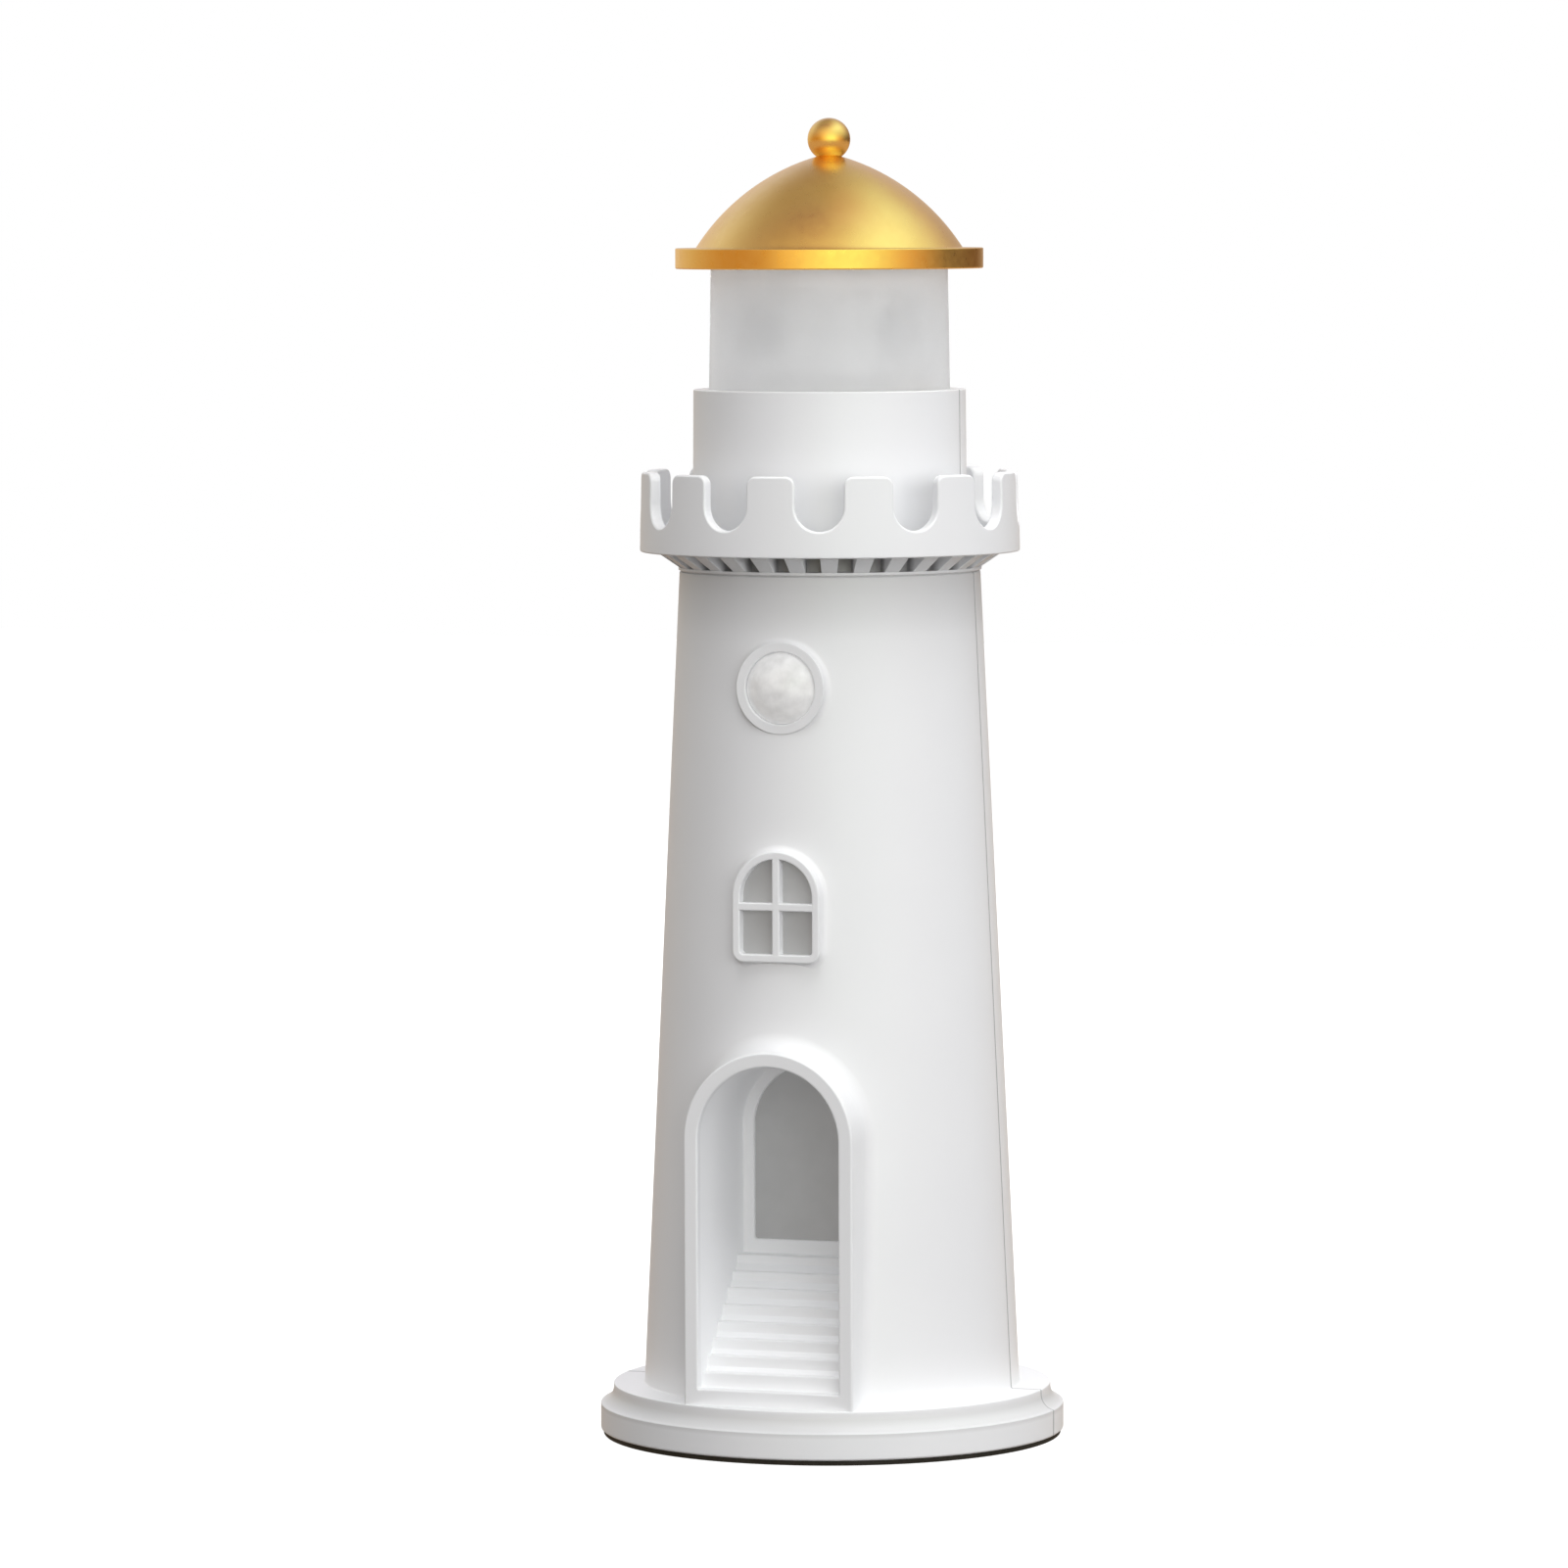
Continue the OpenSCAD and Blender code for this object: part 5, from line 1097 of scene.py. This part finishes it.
# %% [markdown]
# ## The lantern
# The frosted tube narrows a little towards the cap. Its flange stands on the lantern's floor, under
# the lip of the drum.
# %% Lantern
TUBE_FOOT_R, TUBE_TOP_R, TUBE_WALL, FLANGE_R, FLANGE_H = 25.85, 25.4, 1.5, 26.835, 2.3
tube_outline = eased_outline([
    (TUBE_FOOT_R - TUBE_WALL, DECK_TOP, 0), (FLANGE_R, DECK_TOP, 0),
    (FLANGE_R, DECK_TOP + FLANGE_H, 0), (TUBE_FOOT_R, DECK_TOP + FLANGE_H, 0),
    (TUBE_FOOT_R, DRUM_TOP, 0), (TUBE_TOP_R, LANTERN_TOP, 0.15),
    (TUBE_TOP_R - TUBE_WALL, LANTERN_TOP, 0), (TUBE_FOOT_R - TUBE_WALL, DRUM_TOP, 0)])
stand_for(polish(turned("frosted_tube", tube_outline)), "lantern_diffuser")


# %% [markdown]
# ## The stairs behind the doorway
# The doorway opens into one moulded alcove: a vaulted passage with eight steps that lead up to a
# grey pane. Its wall follows the arch, so arch-shaped sections are skinned from the front edge
# along the vault, round the back wall into the pane's opening, and back outside. The steps are one
# profile drawn across, with rounded nosings that catch the light.
# %% Alcove
ALCOVE_BACK, PANE_FRONT, ALCOVE_REAR, BACK_FILLET, OPENING_EASE = -13.1, -12.1, -9.6, 0.6, 0.4
# Arches as (half width, foot, top, corner): the outside, the passage, the pane's opening, its seat.
OUTSIDE, PASSAGE = (17.25, 11.15, 84.95, 0.3), (15.65, 12.7, 83.35, 0.3)
PANE_OPENING, PANE_SEAT = (13.25, 43.02, 80.95, 0.5), (14.8, 41.47, 82.5, 0.3)


def grown(arch, by=0):
    """The outline of an arch that is grown by a distance on all sides."""
    half_w, foot, top, corner = arch
    return arch_path(half_w + by, foot - by, top + by, corner)[0]


turns = [(math.sin(a), math.cos(a)) for a in np.linspace(0, math.pi / 2, 6)]
rows = [(grown(OUTSIDE), ALCOVE_FRONT), (grown(PASSAGE), ALCOVE_FRONT)]
rows += [(grown(PASSAGE, -BACK_FILLET * (1 - c)), ALCOVE_BACK - BACK_FILLET * (1 - s))
         for s, c in turns]
rows += [(grown(PANE_OPENING, OPENING_EASE * (1 - s)), ALCOVE_BACK + OPENING_EASE * (1 - c))
         for s, c in turns]
rows += [(grown(PANE_OPENING), PANE_FRONT), (grown(PANE_SEAT), PANE_FRONT),
         (grown(PANE_SEAT), ALCOVE_REAR), (grown(OUTSIDE), ALCOVE_REAR)]
sections = [[(path[i][0], y, path[i][1]) for path, y in rows] for i in range(len(rows[0][0]))]
vault = polish(clean(loft("vault", sections, ring=True)))
print("vault:", len(vault.data.polygons), "faces")

# %% Steps
STEPS, RISE, RUN, NOSING, STAIR_HALF, STAIR_FOOT = 8, 3.19, 3.24, 0.35, 16.2, 12.2
profile = [(ALCOVE_FRONT + 0.02, STAIR_FOOT, 0), (ALCOVE_FRONT + 0.02, SILL_TOP, 0)]
for k in range(1, STEPS + 1):
    y = DOOR_FRONT + RUN * k
    profile += [(y, SILL_TOP + RISE * (k - 1), 0.12), (y, SILL_TOP + RISE * k, NOSING)]
profile += [(ALCOVE_BACK + 0.3, SILL_TOP + RISE * STEPS, 0), (ALCOVE_BACK + 0.3, 38.6, 0),
            (-17.0, 38.6, 0), (-39.4, 16.0, 0), (-39.4, STAIR_FOOT, 0)]
steps = polish(clean(loft("steps", [[(x, y, z) for y, z in eased_outline(profile)]
                                    for x in (-STAIR_HALF, STAIR_HALF)])))
pegs = [polish(rod(x, z, PEG_R, -10.2, -5.6)) for x in (-16.0, 16.0) for z in (47.0, 63.7)]
stand_for(join("stair_moulding", [vault, steps, *pegs]), "stair_alcove", look="alcove_painted_glow")
print("nosings of", NOSING, "mm")

# %% [markdown]
# Two frosted panes close the openings. Each is a slab with eased edges, cut to the arch of its seat
# with a little room all round.
# %% Panes
PANE_T, PANE_ROOM, PANE_EASE = 1.5, 0.05, 0.2


def pane(name, seat, corner, front):
    """A flat pane for a seat, with eased edges on both faces."""
    path = grown((*seat[:3], corner), -PANE_ROOM)
    low, high = front + PANE_EASE, front + PANE_T - PANE_EASE
    rims = [(-PANE_EASE, front), (0, low), (0, high), (-PANE_EASE, front + PANE_T)]
    return polish(clean(loft(name, [[(x, y, z) for x, z in (offset_loop(path, by) if by else path)]
                                    for by, y in rims])))


stand_for(pane("door_glazing", PANE_SEAT, 0.6, PANE_FRONT), "door_pane")
stand_for(pane("window_glazing", WINDOW_SEAT, 1.4, WINDOW_PANE_FRONT), "window_pane")

# %% [markdown]
# ## The motion sensor's lens
# The sensor looks out through a milky dome with flat facets: eight petals round two middle fields.
# Each facet gathers warmth from another direction. The dome starts as a ball, and each facet is a
# plane that cuts it a little, so the nearest of all the planes gives the surface in each direction.
# %% Sensor lens
LENS_BALL, LENS_RIM, LENS_BULGE, LENS_DOME_R, LENS_WALL = 9.835, -33.499, 3.3, 7.35, 0.8
SKIRT_R, LENS_FLANGE_R, LENS_BORE_R, LENS_FLANGE_T = 7.5, 8.9, 6.7, 1.0
LENS_CUT = math.cos(math.radians(9))
LENS_CENTRE = (0, LENS_RIM - LENS_BULGE + LENS_BALL, SENSOR_MID)
FACETS = [(13, 90), (13, 270)] + [(37, 45 * k) for k in range(8)]


def toward(polar, turn):
    """A direction given by its angle from straight ahead and its turn round the lens's axis."""
    p, t = math.radians(polar), math.radians(turn)
    return np.array((math.sin(p) * math.cos(t), -math.cos(p), math.sin(p) * math.sin(t)))


def lens_reach(way, softness=0.03):
    """How far the faceted dome reaches from the ball's centre, with slightly soft ridges."""
    facing = [way @ toward(*facet) for facet in FACETS]
    planes = [LENS_BALL * LENS_CUT / share for share in facing if share > 0.5]
    reach = np.array(planes + [LENS_BALL])
    return reach.min() - softness * math.log(np.exp((reach.min() - reach) / softness).sum())


def lens_section(turn, steps=44):
    """One half section of the lens: the dome, the skirt, the flange and the hollow inside."""
    widest = math.degrees(math.asin(LENS_DOME_R / LENS_BALL))
    ways = [toward(a, turn) for a in np.linspace(0, widest, steps)]
    dome = [LENS_CENTRE + way * lens_reach(way) for way in ways]
    hollow = [LENS_CENTRE + toward(a, turn) * (LENS_BALL - LENS_WALL)
              for a in np.linspace(43, 0, 20)]
    c, s = math.cos(math.radians(turn)), math.sin(math.radians(turn))
    flange_back = SENSOR_BACK + LENS_FLANGE_T
    body = [(LENS_DOME_R + 0.05, LENS_RIM), (SKIRT_R - 0.05, LENS_RIM), (SKIRT_R, LENS_RIM + 0.05),
            (SKIRT_R, SENSOR_BACK), (LENS_FLANGE_R, SENSOR_BACK), (LENS_FLANGE_R, flange_back),
            (LENS_BORE_R, flange_back), (LENS_BORE_R, LENS_RIM)]
    body = [(r * c, y, SENSOR_MID + r * s) for r, y in body]
    return [tuple(p) for p in dome] + body + [tuple(p) for p in hollow]


lens = loft("sensor_dome", [lens_section(360 * k / 144) for k in range(144)], ring=True)
clean(lens, near=0.002)
lens.data.shade_smooth()
lens.data.set_sharp_from_angle(angle=math.radians(30))
stand_for(lens, "pir_lens")

# %% [markdown]
# ## Controls and foot
# The push button has a shallow dish for the fingertip, and the switch's knob three grooves for the
# nail. Each rides on its own body, because the button goes in and the knob slides sideways.
# Both have a flange behind the panel, so they can't fall out.
# %% Button
STOP_OUT, STOP_IN = 35.2, 34.4
BUTTON_R, BUTTON_TOP, BUTTON_STOP_R = 3.9, 38.148, 5.0
DISH_R, DISH_FLOOR, DISH_DEPTH = 3.3, 37.9, 0.25
dish = [(r, DISH_FLOOR + DISH_DEPTH * (r / DISH_R) ** 2, 0) for r in (0, 0.8, 1.6, 2.4, DISH_R)]
button = turned_along_y("round_button", eased_outline(
    dish + [(BUTTON_R, BUTTON_TOP, 0.2), (BUTTON_R, STOP_OUT, 0), (BUTTON_STOP_R, STOP_OUT, 0.1),
            (BUTTON_STOP_R, STOP_IN, 0.1), (0, STOP_IN, 0)]), 0, BUTTON_Z, 64)
stand_for(polish(button, 40), "power_button", "button")

# %% Knob of the slide switch
KNOB_TOP, KNOB_X, KNOB_HALF, NUB_END = 38.048, -2.0, 1.5, 32.448
GROOVE_DEPTH, GROOVE_HALF, GROOVE_FLOOR_HALF = 0.3, 0.22, 0.12
top = [(-KNOB_HALF, KNOB_TOP, 0.15)]
for x in (-0.75, 0, 0.75):
    floor_y = KNOB_TOP - GROOVE_DEPTH
    top += [(x - GROOVE_HALF, KNOB_TOP, 0.06), (x - GROOVE_FLOOR_HALF, floor_y, 0.04),
            (x + GROOVE_FLOOR_HALF, floor_y, 0.04), (x + GROOVE_HALF, KNOB_TOP, 0.06)]
top += [(KNOB_HALF, KNOB_TOP, 0.15), (KNOB_HALF, STOP_OUT, 0), (-KNOB_HALF, STOP_OUT, 0)]
knob = clean(loft("knob", [[(KNOB_X + x, y, z) for x, y in eased_outline(top)]
                           for z in (SLIDER_Z - 1.2, SLIDER_Z + 1.2)]))
flange = prism("flange", rounded_box(3.8, 2.2, 0.3, KNOB_X, SLIDER_Z), STOP_IN, STOP_OUT)
nub = prism("nub", rounded_box(0.9, 0.9, 0.15, KNOB_X, SLIDER_Z), NUB_END, STOP_IN)
slide = join("slide_knob", [polish(piece, 25) for piece in (knob, flange, nub)])
stand_for(slide, "mode_slider", "slider")

# %% [markdown]
# The black pad under the base is a die-cut rubber disc. Rings are pressed into its underside so
# that it grips.
# %% Foot pad
PAD_R, RING_DEPTH = 49.4, 0.35
underside = [(0, 0, 0)]
for r in (20, 30, 40, 45):
    underside += [(r - 0.6, 0, 0.1), (r - 0.3, RING_DEPTH, 0.1), (r + 0.3, RING_DEPTH, 0.1),
                  (r + 0.6, 0, 0.1)]
pad = turned("grip_pad", eased_outline(
    underside + [(PAD_R, 0, 0.3), (PAD_R, PAD_TOP, 0.12), (0, PAD_TOP, 0)]))
stand_for(polish(pad), "rubber_pad")
